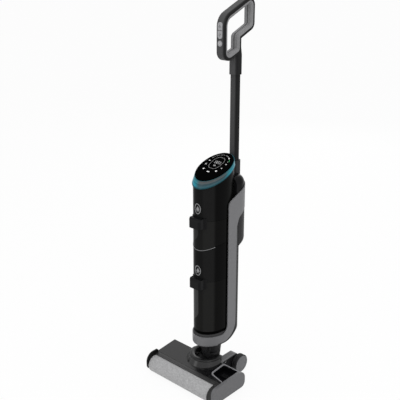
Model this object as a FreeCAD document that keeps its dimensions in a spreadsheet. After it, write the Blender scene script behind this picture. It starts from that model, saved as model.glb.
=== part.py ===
import FreeCAD, Part

import math
import os
import re

import Sketcher

from FreeCAD import Placement, Rotation, Vector

# Upright wet and dry floor washer. Millimetres, +Z up, +Y towards the user.
# The origin lies on the floor, under the middle of the tank column.

doc = FreeCAD.newDocument("floor_washer")
sheet = doc.addObject("Spreadsheet::Sheet", "Sizes")

SIZES = {
    # floor head
    "head_half": 136, "cheek_wall": 5, "plate_wall": 9, "plate_nose": 2, "plate_rear": 11,
    "head_rear": 25.5, "head_floor": 12, "top_fall": 8, "top_rear": 63.5, "cover_back": 4.5,
    "seam_back": 18.5, "cover_gap": 0.8, "rib_back": 12, "shell_wall": 2.5, "part_gap": 0.5,
    "cheek_top": 40, "crest_rise": 3, "plate_rise": 1.5,
    "roller_radius": 26.5, "pile_depth": 5.5, "roller_ahead": 122.5, "end_cap_length": 19,
    "core_wall": 2.5, "motor_radius": 14, "shaft_radius": 3,
    "pocket_wide": 53.9, "pocket_inset": 0.6, "pocket_step": 20, "pocket_slant": 13,
    "pocket_long": 53,
    "pocket_deep": 20, "rim_wall": 2.4, "rim_proud": 1.2, "rim_side": 2.4,
    # wheels and the arms that carry them
    "wheel_radius": 28.4, "wheel_behind": 49.5, "wheel_face": 75, "wheel_width": 18.5,
    "tread_depth": 2.4, "axle_radius": 4, "arm_inner": 33, "arm_wide": 21.5, "arm_top": 60,
    "arm_floor": 15, "arm_cap": 4,
    # ring and neck
    "ring_ahead": 31, "ring_radius": 50, "ring_bore": 33, "ring_tall": 16, "dish_top": 60,
    "cradle_step": 3.5,
    "tilt_height": 50, "swing_rise": 44, "trunnion_radius": 12, "drum_radius": 20,
    "neck_ahead": 8, "neck_radius": 26, "neck_top_radius": 33, "swing_limit": 15,
    "pin_radius": 4, "run_gap": 0.05,
    # column
    "column_half": 49, "column_depth": 67.5, "frame_step": 3.5, "frame_wall": 2.8,
    "band_front": 6.5, "band_wide": 36, "under_radius": 52, "under_rise": 6,
    "collar_bottom": 117, "collar_tall": 32, "collar_round": 5, "collar_proud": 3.5,
    "back_radius": 25,
    "sweep_rise": 77.5, "lip_tall": 7.5, "neck_tall": 10.5, "clean_tall": 162,
    "housing_tall": 98, "seam_rise": 16, "dirty_tall": 88, "tank_back": 0, "tank_wall": 2.5,
    "flag_rear": 104, "flag_drop": 35, "flag_rise": 53, "flag_radius": 44,
    "skin_wall": 2.5,
    "pod_tall": 69, "cell_radius": 9, "dome_rise": 107, "dome_round": 22,
    "display_rise": 94, "display_slope": 22.5, "ring_thick": 15, "glass_thick": 2.5,
    # latches
    "latch_half": 26, "latch_below": 21, "latch_above": 10, "knob_half": 21, "knob_tall": 29,
    "knob_proud": 15, "latch_wall": 2,
    # tube and handle
    "tube_behind": 88, "tube_wide": 24, "tube_deep": 22, "tube_wall": 1.6, "tube_sink": 16,
    "socket_wide": 29, "socket_tall": 51, "sleeve_hold": 34, "tube_long": 329,
    "grip_wide": 29, "grip_half": 8.5, "grip_front": 31, "grip_long": 112.5,
    "grip_rise": 9.5, "grip_straight": 109, "grip_tall": 157.5, "step_rise": 82.5,
    "fork_rise": 58.5, "foot_rise": 21.5,
    "key_half": 8, "key_tall": 43, "key_drop": 8.5, "power_drop": 12,
    "key_proud": 1.6,
}

# Places that follow from those sizes.
FOLLOWING = {
    "plate_front": "roller_ahead + roller_radius + plate_nose",
    "cover_front": "roller_ahead - cover_back",
    "cover_seam": "roller_ahead - seam_back",
    "rib_ahead": "cover_seam - rib_back",
    "pocket_front": "cover_seam - pocket_step",
    "pocket_back": "pocket_front - pocket_long",
    "pocket_right": "head_half - plate_wall - pocket_inset",
    "pocket_left": "pocket_right - pocket_wide",
    "top_front": "top_rear - top_fall",
    "cheek_crest": "top_rear + crest_rise",
    "plate_top": "top_rear + plate_rise",
    "arm_outer": "arm_inner + arm_wide",
    "ring_top": "dish_top + ring_tall",
    "cradle_radius": "ring_bore + cradle_step",
    "swing_height": "tilt_height + swing_rise",
    "frame_half": "column_half + frame_step",
    "band_rear": "band_front + band_wide",
    "collar_top": "collar_bottom + collar_tall",
    "lip_top": "collar_top + lip_tall",
    "tank_bottom": "lip_top + neck_tall",
    "lower_seam": "tank_bottom + clean_tall",
    "middle_seam": "lower_seam + housing_tall",
    "upper_seam": "middle_seam + dirty_tall",
    "flag_bottom": "upper_seam - flag_drop",
    "flag_top": "upper_seam + flag_rise",
    "pod_bottom": "flag_bottom - pod_tall",
    "dome_top": "upper_seam + dome_rise",
    "display_front": "upper_seam + display_rise",
    "tube_bottom": "dome_top - tube_sink",
    "socket_top": "tube_bottom + socket_tall",
    "tube_top": "tube_bottom + tube_long",
    "sleeve_bottom": "tube_top - sleeve_hold",
    "grip_low": "tube_top + grip_rise",
    "grip_shoulder": "grip_low + grip_straight",
    "grip_top": "grip_low + grip_tall",
    "grip_step": "grip_low + step_rise",
    "grip_fork": "grip_low + fork_rise",
    "grip_foot": "grip_low + foot_rise",
    "grip_rear": "grip_front + grip_long",
    "key_top": "grip_shoulder - key_drop",
    "key_bottom": "key_top - key_tall",
    "power_height": "key_bottom - power_drop",
}

cells = [(alias, str(number)) for alias, number in SIZES.items()]
cells += [(alias, "=" + formula) for alias, formula in FOLLOWING.items()]
for row, (alias, entry) in enumerate(cells, start=1):
    sheet.set(f"A{row}", alias)
    sheet.setAlias(f"B{row}", alias)
    sheet.set(f"B{row}", entry)
doc.recompute()


class Cells:
    """Reads a named size back from the sheet."""

    def __getattr__(self, alias):
        return float(sheet.get(alias))


size = Cells()


def linked(formula):
    """Turns a formula of aliases into one that other objects can use."""
    return re.sub(r"[a-z]+(_[a-z]+)+", lambda found: "Sizes." + found.group(), str(formula))


def worth(formula):
    """The number that a formula of aliases gives now."""
    number = sheet.evalExpression(linked(formula))
    return float(getattr(number, "Value", number))


# ---------------------------------------------------------------- parametric bodies

def new_body(name):
    body = doc.addObject("PartDesign::Body", name)
    body.Label = name
    return body


def new_sketch(body, role="XY_Plane", offset="0"):
    sketch = body.newObject("Sketcher::SketchObject", body.Name + "_sketch")
    plane = next(item for item in body.Origin.OriginFeatures if item.Role == role)
    sketch.AttachmentSupport = (plane, "")
    sketch.MapMode = "FlatFace"
    if str(offset) != "0":
        sketch.setExpression(".AttachmentOffset.Base.z", linked(offset))
    return sketch


def polygon(sketch, places):
    """A closed outline whose corners are tied to formulas, across and up."""
    count = len(places)
    spots = [Vector(worth(across), worth(up), 0) for across, up in places]
    for index in range(count):
        sketch.addGeometry(Part.LineSegment(spots[index], spots[(index + 1) % count]), False)
    for index in range(count):
        sketch.addConstraint(Sketcher.Constraint("Coincident", index, 2, (index + 1) % count, 1))
    for index, place in enumerate(places):
        for kind, formula in zip(("DistanceX", "DistanceY"), place):
            number = sketch.addConstraint(
                Sketcher.Constraint(kind, -1, 1, index, 1, worth(formula)))
            sketch.setExpression(f"Constraints[{number}]", linked(formula))


def place_body(body, centre, axis="Z"):
    """Sets a body down: its own Z turned to a row axis, its origin tied to formulas."""
    turns = {"Z": Rotation(), "X": Rotation(Vector(0, 1, 0), 90), "Y": Rotation(Vector(1, 0, 0), -90)}
    body.Placement = Placement(Vector(), turns[axis])
    for letter, formula in zip("xyz", centre):
        body.setExpression(".Placement.Base." + letter, linked(formula))


def turned(name, places, centre=("0", "0", "0"), axis="Z"):
    """A turned piece: its half outline (radius, along) swept round an axis."""
    body = new_body(name)
    sketch = new_sketch(body, "XZ_Plane")
    polygon(sketch, places)
    sweep = body.newObject("PartDesign::Revolution", name + "_turn")
    sweep.Profile = sketch
    sweep.ReferenceAxis = (sketch, ["V_Axis"])
    sweep.Angle = 360
    place_body(body, centre, axis)
    return body


def upright_edges(feature):
    """The straight edges of a feature that run along its own Z."""
    names = []
    for number, edge in enumerate(feature.Shape.Edges, start=1):
        if edge.BoundBox.XLength + edge.BoundBox.YLength < 1e-3:
            names.append(f"Edge{number}")
    return names


def padded(name, places, height, corner=None, centre=("0", "0", "0"), axis="Z"):
    """A block: an outline padded along Z, its upright corners rounded."""
    body = new_body(name)
    sketch = new_sketch(body)
    polygon(sketch, places)
    pad = body.newObject("PartDesign::Pad", name + "_pad")
    pad.Profile = sketch
    pad.setExpression("Length", linked(height))
    if corner is not None:
        doc.recompute()
        rounding = body.newObject("PartDesign::Fillet", name + "_corners")
        rounding.Base = (pad, upright_edges(pad))
        rounding.setExpression("Radius", linked(corner))
        body.Tip = rounding
    place_body(body, centre, axis)
    return body


def frame_of(left, right, low, high):
    """The four corners of a rectangle given as formulas."""
    return [(left, low), (right, low), (right, high), (left, high)]


def ring_places(inner, outer, low, high):
    """Half outline of a plain ring or bush."""
    return [(inner, low), (outer, low), (outer, high), (inner, high)]


# ---------------------------------------------------------------- shapes from the sheet

AXES = {"X": Vector(1, 0, 0), "Y": Vector(0, 1, 0), "Z": Vector(0, 0, 1)}


def on_plane(axis, first, second):
    if axis == "X":
        return Vector(0, first, second)
    if axis == "Y":
        return Vector(first, 0, second)
    return Vector(first, second, 0)


def outline(axis, places):
    """A closed wire of straight runs; a third number rounds that corner."""
    spots = [on_plane(axis, place[0], place[1]) for place in places]
    joints, edges = [], []
    for index, place in enumerate(places):
        spot = spots[index]
        radius = place[2] if len(place) > 2 else 0
        if not radius:
            joints.append((spot, None, spot))
            continue
        back = (spots[index - 1] - spot).normalize()
        onward = (spots[(index + 1) % len(spots)] - spot).normalize()
        half = back.getAngle(onward) / 2
        middle = (back + onward).normalize()
        centre = spot + middle * (radius / math.sin(half))
        run = radius / math.tan(half)
        joints.append((spot + back * run, centre - middle * radius, spot + onward * run))
    for index, (start, middle, end) in enumerate(joints):
        if middle is not None:
            edges.append(Part.Arc(start, middle, end).toShape())
        following = joints[(index + 1) % len(joints)][0]
        if end.distanceToPoint(following) > 1e-6:
            edges.append(Part.LineSegment(end, following).toShape())
    return Part.Wire(edges)


def prism(axis, places, low, high):
    """An outline carried from low to high along an axis."""
    face = Part.Face(outline(axis, places))
    face.translate(AXES[axis] * low)
    return face.extrude(AXES[axis] * (high - low))


def box(left, right, front, back, low, high):
    return Part.makeBox(right - left, back - front, high - low, Vector(left, front, low))


def rod(axis, radius, low, high, centre):
    """A round bar along an axis; centre gives the other two coordinates."""
    start = on_plane(axis, *centre) + AXES[axis] * low
    return Part.makeCylinder(radius, high - low, start, AXES[axis])


def oval_wire(half, depth, height, middle=0.0):
    ellipse = Part.Ellipse(Vector(0, middle + depth, height), Vector(half, middle, height),
                           Vector(0, middle, height))
    return Part.Wire(ellipse.toShape())


def oval(half, depth, low, high, middle=0.0):
    """An upright prism of oval section, half wide and depth deep from its middle."""
    return Part.Face(oval_wire(half, depth, low, middle)).extrude(Vector(0, 0, high - low))


def fused(first, *others):
    return first.multiFuse(list(others)).removeSplitter()


def solid(name, shape):
    """Shows a shape as one piece of the machine."""
    piece = doc.addObject("Part::Feature", name)
    piece.Label = name
    piece.Shape = shape
    return piece


def ahead_of(back):
    """Everything further forward than a plane across the column."""
    return box(-90, 90, -200, back, -50, 1250)


# ---------------------------------------------------------------- floor head

def head_top(ahead):
    """Height of the head's gently sloped top, at a distance ahead of the column."""
    rise = (size.top_rear - size.top_front) / (size.cover_front - size.head_rear)
    return size.top_rear - (ahead - size.head_rear) * rise


def plate_outline(inset=0.0):
    front, rear = size.plate_front - inset, size.plate_rear + inset
    return [(-front, size.head_floor, 16), (-front, size.plate_top - 2 - inset, 18),
            (-rear, size.plate_top + 1 - inset, 26), (-rear, size.head_floor, 16)]


def side_walls():
    right = size.head_half
    solid("right_side_plate", prism("X", plate_outline(), right - size.plate_wall, right))
    step = -size.cover_seam - size.part_gap
    cheek = [(-size.plate_front, size.head_floor, 16), (-size.plate_front, size.cheek_crest, 27),
             (step, size.cheek_crest, 5), (step, size.cheek_top), (-size.head_rear, size.cheek_top, 6),
             (-size.head_rear, size.head_floor, 14)]
    solid("left_cheek", prism("X", cheek, -right, size.cheek_wall - right))


def roller_end():
    return size.head_half - size.plate_wall - size.end_cap_length


def chassis():
    gap = size.part_gap
    left = size.cheek_wall - size.head_half + gap
    right = size.head_half - size.plate_wall - gap
    axis = (-size.roller_ahead, size.roller_radius)
    floor, wall = size.head_floor, size.shell_wall
    inner = size.roller_radius + wall
    pan = box(left, right, -size.rib_ahead, -size.head_rear, floor, floor + wall)
    rear = box(left, right, -size.head_rear - wall, -size.head_rear, floor, floor + 14)
    tunnel_end = roller_end() - gap
    tunnel = rod("X", inner + wall, left, tunnel_end, axis)
    tunnel = tunnel.cut(rod("X", inner, left, tunnel_end, axis))
    tunnel = tunnel.common(box(left, right, -size.roller_ahead + 14, 0, floor - 4, floor + 24.7))
    rib = box(left, right - wall - gap, -size.rib_ahead, wall - size.rib_ahead, floor, floor + 24.7)
    rib = rib.cut(rod("X", inner, left, right, axis))
    post = rod("Z", size.ring_radius - 1, floor, size.dish_top - wall, (0, -size.ring_ahead))
    post = post.cut(rod("Z", size.ring_radius - 1 - wall, floor, size.dish_top, (0, -size.ring_ahead)))
    post = post.common(box(-90, 90, -200, -size.head_rear, 0, 100))
    mouth = box(-28, 28, -size.rib_ahead - 8, -size.ring_ahead - 20, floor + wall + 2, floor + 24)
    pieces = [rear, tunnel, rib, post]
    for side in (-1, 1):
        pieces.append(wheel_arm(side))
    between, axis = size.arm_inner + 1, (0, size.tilt_height)
    cradle = rod("X", size.cradle_radius + wall, -between, between, axis)
    cradle = cradle.cut(rod("X", size.cradle_radius, -between, between, axis))
    pieces.append(cradle.common(box(-60, 60, -90, 6, 0, size.dish_top - wall)))
    hollow = rod("X", size.cradle_radius, -size.arm_inner, size.arm_inner, axis)
    shape = fused(pan, *pieces).cut(mouth).cut(hollow)
    axle = rod("X", size.axle_radius + size.run_gap, -90, 90, (size.wheel_behind, size.wheel_radius))
    tilt = rod("X", size.pin_radius + size.run_gap, -90, 90, (0, size.tilt_height))
    solid("head_chassis", shape.cut(axle).cut(tilt))


def arm_outline(drop, front, floor):
    """Side view of a wheel arm whose top and rear are set in by drop."""
    rear, top = size.wheel_behind + 14 - drop, size.arm_top - drop
    return [(front, floor), (front, top), (size.wheel_behind - 2, top, 10),
            (rear, size.wheel_radius + 12 - drop / 2, 12), (rear, floor, 10 - drop)]


def wheel_arm(side):
    low, high = sorted((side * size.arm_inner, side * size.arm_outer))
    return prism("X", arm_outline(size.arm_cap, -size.head_rear - 1, size.arm_floor), low, high)


def arm_caps():
    """The light covers over the two arms, with three grooves along each."""
    caps = []
    front = 0.3 - size.head_rear
    for side in (-1, 1):
        low, high = sorted((side * size.arm_inner, side * size.arm_outer))
        cap = prism("X", arm_outline(0, front, size.arm_floor + 4), low, high)
        cap = cap.cut(prism("X", arm_outline(size.arm_cap - 0.3, -90, 0), low - 1, high + 1))
        middle = (low + high) / 2
        for across in (middle - 5.5, middle, middle + 5.5):
            cap = cap.cut(box(across - 1, across + 1, front + 6, size.wheel_behind - 12,
                              size.arm_top - 1.2, size.arm_top + 1))
        caps.append(cap)
    solid("arm_caps", Part.Compound(caps))


def ring_hole(clear):
    return rod("Z", size.ring_radius + clear, 50, 90, (0, -size.ring_ahead))


def pocket_places(grow, side=0.0):
    """Plan of the pocket moved out by grow, and by side as well on its left."""
    left, right = size.pocket_left - grow - side, size.pocket_right + grow
    front, back = -size.pocket_front - grow, -size.pocket_back + grow
    return [(left, front - side / 2, 9 + grow + side), (right, front - size.pocket_slant), (right, back),
            (left, back, 6 + grow)]


def head_slab(below, above):
    """A layer that follows the head's sloped top."""
    front, rear = size.cover_seam + 8, size.head_rear - 8
    places = [(-front, head_top(front) - below), (-rear, head_top(rear) - below),
              (-rear, head_top(rear) + above), (-front, head_top(front) + above)]
    return prism("X", places, -size.head_half, size.head_half)


def top_shell():
    gap, wall = size.part_gap, size.shell_wall
    left = -size.head_half
    right = size.head_half - size.plate_wall - gap
    seam, rear, low = size.cover_seam - size.cover_gap / 2, size.head_rear, size.head_floor + 14.3
    outer = prism("X", [(-seam, low), (-seam, head_top(seam)), (-rear, size.top_rear, 3),
                        (-rear, low)], left, right)
    inner = prism("X", [(-seam - 1, low - 1), (-seam - 1, head_top(seam) - wall),
                        (-rear - wall, size.top_rear - wall, 1), (-rear - wall, low - 1)],
                  left + wall, right - wall)
    outer = outer.cut(box(left - 1, size.cheek_wall - size.head_half + gap, -200, 0, 0,
                          size.cheek_top + 0.5))
    skirt = Part.makeCone(size.ring_radius + 10, size.ring_radius + 2, 15,
                          Vector(0, -size.ring_ahead, head_top(size.ring_ahead) - 5))
    skirt = skirt.common(box(-90, 90, -200, -size.head_rear, 0, 100))
    shape = fused(outer.cut(inner), skirt.cut(inner)).cut(ring_hole(0.3))
    reach = size.arm_outer + 0.3
    shape = shape.cut(box(-reach, reach, -rear - 4, 0, 0, size.arm_top + 0.3))
    solid("top_shell", shape.cut(prism("Z", pocket_places(size.rim_wall + 0.15, size.rim_side), 40, 90)))


def turret_ring():
    """The broad rounded ring round the neck, open at the rear where the neck lies back."""
    outer, bore, top, low = size.ring_radius, size.ring_bore, size.ring_top, size.dish_top
    half = [(bore, low), (outer, low), (outer, top, 6), ((outer + bore) / 2 - 1, top + 1, 14),
            (bore, top - 1.5, 4)]
    ring = Part.Face(outline("Y", half)).revolve(Vector(), AXES["Z"], 360)
    ring.translate(Vector(0, -size.ring_ahead, 0))
    ring = ring.common(box(-90, 90, -200, -size.trunnion_radius - 1, 0, 100))
    radii = [size.neck_radius + 2.5, size.neck_radius + 6]
    solid("turret_ring", ring.cut(Part.makeCone(*radii, 40, Vector(0, -size.neck_ahead, low - 5))))


def turret_dish():
    """Floor of the turret ahead of the cradle that the neck's foot turns in."""
    wall, half = size.shell_wall, size.arm_inner
    disc = ring_hole(0).common(box(-90, 90, -200, -size.head_rear - 3.3,
                                   size.dish_top - wall, size.dish_top))
    solid("turret_dish", disc.cut(box(-half, half, -size.cradle_radius, 0, 0, 90)))


def roller_cover():
    gap = size.part_gap
    left = size.cheek_wall - size.head_half + gap
    right = roller_end() - gap / 2
    axis = (-size.roller_ahead, size.roller_radius)
    seam, front = size.cover_seam + size.cover_gap / 2, size.cover_front
    block = prism("X", [(-seam, size.head_floor + 27), (-front + 10, size.head_floor + 27),
                        (-front, size.top_front - 3.5), (-front, size.top_front, 1),
                        (-seam, head_top(seam))], left, right)
    block = block.cut(rod("X", size.roller_radius + 1.2, left, right, axis))
    groove = rod("X", 1, left - 1, right + 1, (5 - front, head_top(front - 5) + 0.1))
    solid("roller_cover", block.cut(groove))


def end_cap():
    gap = size.part_gap
    right = size.head_half - size.plate_wall - gap / 2
    seam, front = size.cover_seam + size.cover_gap / 2, size.cover_front
    axis = (-size.roller_ahead, size.roller_radius)
    places = [(-seam, size.head_floor - 5), (-seam, head_top(seam)), (-front, size.top_front, 1.5),
              (-front - 12, size.top_front - 7), (-front - 8, size.head_floor - 5)]
    cap = prism("X", places, roller_end(), right)
    drum = rod("X", size.roller_radius + 1, roller_end(), right, axis)
    band = rod("X", size.roller_radius + 2, roller_end() + 5, right - 5, axis)
    band = band.cut(rod("X", size.roller_radius + 0.2, 0, 200, axis))
    drum = drum.cut(band).common(box(0, 200, -200, -seam, 0, 90))
    stub = rod("X", size.axle_radius, roller_end() - 12, roller_end() + 1, axis)
    solid("roller_end_cap", fused(cap, drum, stub))


def scraper():
    gap = size.part_gap
    left, right = size.cheek_wall - size.head_half + 2 * gap, roller_end() - gap
    inner, outer = size.roller_radius + 0.3, size.roller_radius + size.shell_wall - 0.05
    places = []
    for radius, degrees in ((inner, 10), (inner, 22), (outer, 22), (outer, 10)):
        turn = math.radians(degrees)
        places.append((-size.roller_ahead + radius * math.cos(turn),
                       size.roller_radius + radius * math.sin(turn)))
    solid("scraper_bar", prism("X", places, left, right))


def squeegee():
    half = size.head_half - size.plate_wall - 6
    front = -size.head_rear - 8
    solid("rear_squeegee", prism("X", [(front, 1), (front + 1.2, 0.6), (front + 3, size.head_floor),
                                       (front - 1, size.head_floor)], -half, half))


def spray_bar():
    seam, low = -size.rib_ahead, size.head_floor + 25
    half = size.head_half - size.plate_wall - 10
    bar = box(-half, half, seam + 0.6, seam + 6, low, low + 6)
    nozzles = [rod("Y", 1.2, seam - 1, seam + 1, (across, low + 3))
               for across in (-90, -45, 0, 45, 90)]
    bar = bar.cut(rod("X", 1.8, -half + 2, half - 2, (seam + 3.3, low + 3)))
    for nozzle in nozzles:
        bar = bar.cut(nozzle)
    solid("water_spray_bar", bar)


def pocket():
    rim = prism("Z", pocket_places(size.rim_wall, size.rim_side), 30, 90)
    rim = rim.cut(prism("Z", pocket_places(0), 30, 90)).common(head_slab(2.5, size.rim_proud))
    rim = rim.common(box(0, size.pocket_right - 0.3, 0.6 - size.cover_seam, 0, 0, 90))
    solid("pocket_rim", rim)
    low = size.top_rear - size.pocket_deep
    cup = prism("Z", pocket_places(-0.1), low, 90).cut(prism("Z", pocket_places(-2.1), low + 2, 91))
    cup = cup.common(head_slab(60, -0.6))
    middle = ((size.pocket_left + size.pocket_right) / 2, -(size.pocket_front + size.pocket_back) / 2)
    cup = cup.common(box(0, size.pocket_right - 0.3, -200, 0, 0, 90))
    hole = box(middle[0] - 12.3, middle[0] + 12.3, middle[1] - 8.3, middle[1] + 8.3, 0, 90)
    solid("pocket_liner", cup.cut(hole))
    key = box(middle[0] - 12, middle[0] + 12, middle[1] - 8, middle[1] + 8, low - 4, low + 7)
    tops = [edge for edge in key.Edges if edge.BoundBox.ZMin > low]
    key = key.makeFillet(1.5, tops)
    for ahead in (-3, 0, 3):
        key = key.cut(box(middle[0] - 8, middle[0] + 8, middle[1] + ahead - 0.5,
                          middle[1] + ahead + 0.5, low + 6.2, low + 9))
    solid("cover_release_key", key)


# ---------------------------------------------------------------- roller

def roller():
    centre = ("0", "-roller_ahead", "roller_radius")
    left = "(cheek_wall - head_half + part_gap)"
    right = "(head_half - plate_wall - end_cap_length - part_gap)"
    core = "(roller_radius - pile_depth)"
    inside = f"({core} - core_wall)"
    shaft, stub = "(shaft_radius + run_gap)", "(axle_radius + run_gap)"
    turned("roller_core", [(inside, left), (core, left), (core, right), (inside, right),
                           (inside, f"{right} - 1"), (stub, f"{right} - 1"), (stub, f"{right} - 12"),
                           (inside, f"{right} - 12"), (inside, "-10"), (shaft, "-10"),
                           (shaft, "-20"), (inside, "-20")], centre, "X")
    turned("roller_sleeve", ring_places(core, "roller_radius", left, right), centre, "X")
    turned("roller_motor", [("0", f"{left} - part_gap"), (f"{inside} - 0.3", f"{left} - part_gap"),
                            (f"{inside} - 0.3", f"{left} + 3"), ("motor_radius", f"{left} + 3"),
                            ("motor_radius", "-24"), ("shaft_radius", "-24"),
                            ("shaft_radius", "-8"), ("0", "-8")], centre, "X")


# ---------------------------------------------------------------- wheels

def wheels():
    inner = "(wheel_face - wheel_width)"
    bed = "(wheel_radius - tread_depth)"
    for side, word in ((-1, "left"), (1, "right")):
        centre = ("0", "wheel_behind", "wheel_radius")
        flip = "" if side > 0 else "-"
        tyre = [(bed, f"{flip}{inner}"), ("wheel_radius - 1", f"{flip}{inner}"),
                ("wheel_radius", f"{flip}({inner} + 1.5)")]
        for share in (0.3, 0.5, 0.7):
            spot = f"({inner} + wheel_width * {share})"
            tyre += [("wheel_radius", f"{flip}({spot} - 1)"), ("wheel_radius - 1", f"{flip}({spot} - 0.6)"),
                     ("wheel_radius - 1", f"{flip}({spot} + 0.6)"), ("wheel_radius", f"{flip}({spot} + 1)")]
        tyre += [("wheel_radius", f"{flip}(wheel_face - 2.5)"),
                 ("wheel_radius - 1.5", f"{flip}(wheel_face - 1)"), (bed, f"{flip}(wheel_face - 1)")]
        turned(word + "_tyre", tyre, centre, "X")
        bore = "axle_radius + run_gap"
        turned(word + "_hub", [(bore, f"{flip}{inner}"), (bed, f"{flip}{inner}"),
                               (bed, f"{flip}(wheel_face - 0.4)"), (f"{bed} - 3", f"{flip}(wheel_face)"),
                               (f"{bed} - 6", f"{flip}(wheel_face - 1.2)"),
                               ("0", f"{flip}(wheel_face - 0.2)"), ("0", f"{flip}(wheel_face - 3)"),
                               (bore, f"{flip}(wheel_face - 3)")], centre, "X")


def axles():
    """One stub axle for each wheel, pressed into its arm."""
    stubs = [rod("X", size.axle_radius, *sorted((side * (size.arm_inner + 2),
                                                 side * (size.wheel_face - 3.3))),
                 (size.wheel_behind, size.wheel_radius)) for side in (-1, 1)]
    solid("wheel_axles", Part.Compound(stubs))


# ---------------------------------------------------------------- neck

def neck_cone(low, high):
    rise = (size.neck_top_radius - size.neck_radius) / (size.collar_bottom - size.tilt_height)
    radii = [size.neck_radius + (height - size.tilt_height) * rise for height in (low, high)]
    return Part.makeCone(*radii, high - low, Vector(0, -size.neck_ahead, low))


def below_wings(degrees):
    """The region under two planes that fall away sideways from the swing axis."""
    drop = 80 * math.tan(math.radians(degrees))
    top = size.swing_height
    return prism("Y", [(0, top), (80, top - drop), (80, 0), (-80, 0), (-80, top - drop)], -90, 90)


def drum_reach():
    """Front and rear faces of the swivel drum."""
    return -size.neck_ahead - size.neck_radius, size.neck_ahead + 6


def neck():
    front, rear = drum_reach()
    gap = size.run_gap
    axis = (0, size.swing_height)
    foot = neck_cone(size.tilt_height, size.swing_height - size.drum_radius + 4)
    foot = foot.common(below_wings(22 + size.swing_limit + 2))
    trunnion = rod("X", size.trunnion_radius, 0.5 - size.arm_inner, size.arm_inner - 0.5,
                   (0, size.tilt_height))
    drum = rod("Y", size.drum_radius, front, rear, axis)
    yoke = fused(trunnion, foot, drum)
    yoke = yoke.cut(rod("X", size.pin_radius + gap, -90, 90, (0, size.tilt_height)))
    solid("neck_yoke", yoke.cut(rod("Y", size.pin_radius + gap, -90, 90, axis)))
    solid("tilt_pin", rod("X", size.pin_radius, 2 - size.arm_outer, size.arm_outer - 2,
                          (0, size.tilt_height)))
    stub = neck_cone(size.swing_height - 14, size.collar_bottom - 0.2)
    stub = stub.cut(below_wings(22)).cut(rod("Y", size.drum_radius + 0.4, -90, rear + 0.4, axis))
    rear_face = size.neck_top_radius - size.neck_ahead - 3
    boss = rod("Y", size.pin_radius + 5, rear + 0.4, rear_face, axis)
    stub = fused(stub, boss).cut(rod("Y", size.pin_radius, -90, rear_face - 2, axis))
    solid("neck_stub", stub)
    pin = rod("Y", size.pin_radius, front - 2, rear_face - 2, axis)
    cap = rod("Y", size.drum_radius - 8, front - 3, front - 0.3, axis)
    solid("swing_pin", fused(pin, cap))


# ---------------------------------------------------------------- frame and covers

def plan_body(grow, depth, rear, corner):
    """The column's plan carried up: half an oval ahead, a round-cornered box behind."""
    half, back = size.frame_half + grow, rear + grow
    nose = oval(half, depth + grow, 0, 1200).common(ahead_of(0))
    block = prism("Z", [(-half, 0), (half, 0), (half, back, corner + grow),
                        (-half, back, corner + grow)], 0, 1200)
    return fused(nose, block)


def carcass(grow, top):
    """The frame's outer body: an oval collar ahead, a swept underside behind."""
    low, half, radius = size.collar_bottom - grow, size.frame_half + grow, size.collar_round + grow
    nose = oval(half, size.column_depth + size.collar_proud + grow, low, top)
    foot = [edge for edge in nose.Edges if edge.BoundBox.ZMax < low + 0.1]
    nose = nose.makeFillet(radius, foot).common(ahead_of(0))
    back, rise = size.column_depth + grow, size.sweep_rise + grow
    sweep = Part.Ellipse(Vector(0, 0, low), Vector(0, back, low + rise), Vector(0, 0, low + rise))
    start, end = Vector(0, 0, low), Vector(0, back, low + rise)
    upper, corner = Vector(0, back, top), Vector(0, 0, top)
    side = Part.Face(Part.Wire([Part.ArcOfEllipse(sweep, 0, math.pi / 2).toShape(),
                                Part.LineSegment(end, upper).toShape(),
                                Part.LineSegment(upper, corner).toShape(),
                                Part.LineSegment(corner, start).toShape()]))
    side.translate(Vector(-half, 0, 0))
    side = side.extrude(Vector(2 * half, 0, 0))
    rims = [edge for edge in side.Edges
            if edge.BoundBox.XLength < 1e-3 and edge.BoundBox.YMax > 0.1
            and edge.BoundBox.ZMin < top - 0.1]
    turn = size.back_radius + grow
    plan = prism("Z", [(-half, -1), (half, -1), (half, back, turn), (-half, back, turn)], 0, top + 1)
    return fused(nose, side.makeFillet(radius, rims).common(plan))


def flag_shape(grow):
    return plan_body(grow, size.column_depth, size.flag_rear, size.flag_radius)


def flag_under(drop, far):
    """The flag's lower edge, from the band back to far, lowered by drop."""
    rear, low = size.band_rear, size.flag_bottom
    reach = rear + 10
    rise = (far - reach) * 0.69
    return [(rear + drop / 2, low - drop), (reach, low + 24 - drop, 12),
            (far, low + 24 + rise - drop)]


def flag_height(behind_axis):
    slope = math.tan(math.radians(size.display_slope)) * 1.06
    return size.flag_top - 9 + (behind_axis - size.band_front) * slope


def frame():
    wall = size.frame_wall
    cut = carcass(0, size.flag_bottom).cut(carcass(-wall, size.flag_bottom + 1))
    front, rear, top = size.band_front, size.band_rear, size.flag_bottom
    inner, low = size.under_radius, size.collar_bottom + size.under_rise
    places = [(-90, 90), (-90, size.collar_top), (front, size.collar_top, 25), (front, top),
              (rear, top), (rear, low, inner), (-30, low), (-30, 90)]
    band = cut.common(prism("X", places, -60, 60))
    under = flag_under(0, 120)
    wing_places = ([(front, top), (front, flag_height(front), 20), (120, flag_height(120))]
                   + list(reversed(under)))
    wing_places[-1] = (rear, top)
    wings = flag_shape(0).cut(flag_shape(-wall)).common(prism("X", wing_places, -60, 60))
    solid("carry_frame", fused(band, wings))


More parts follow.
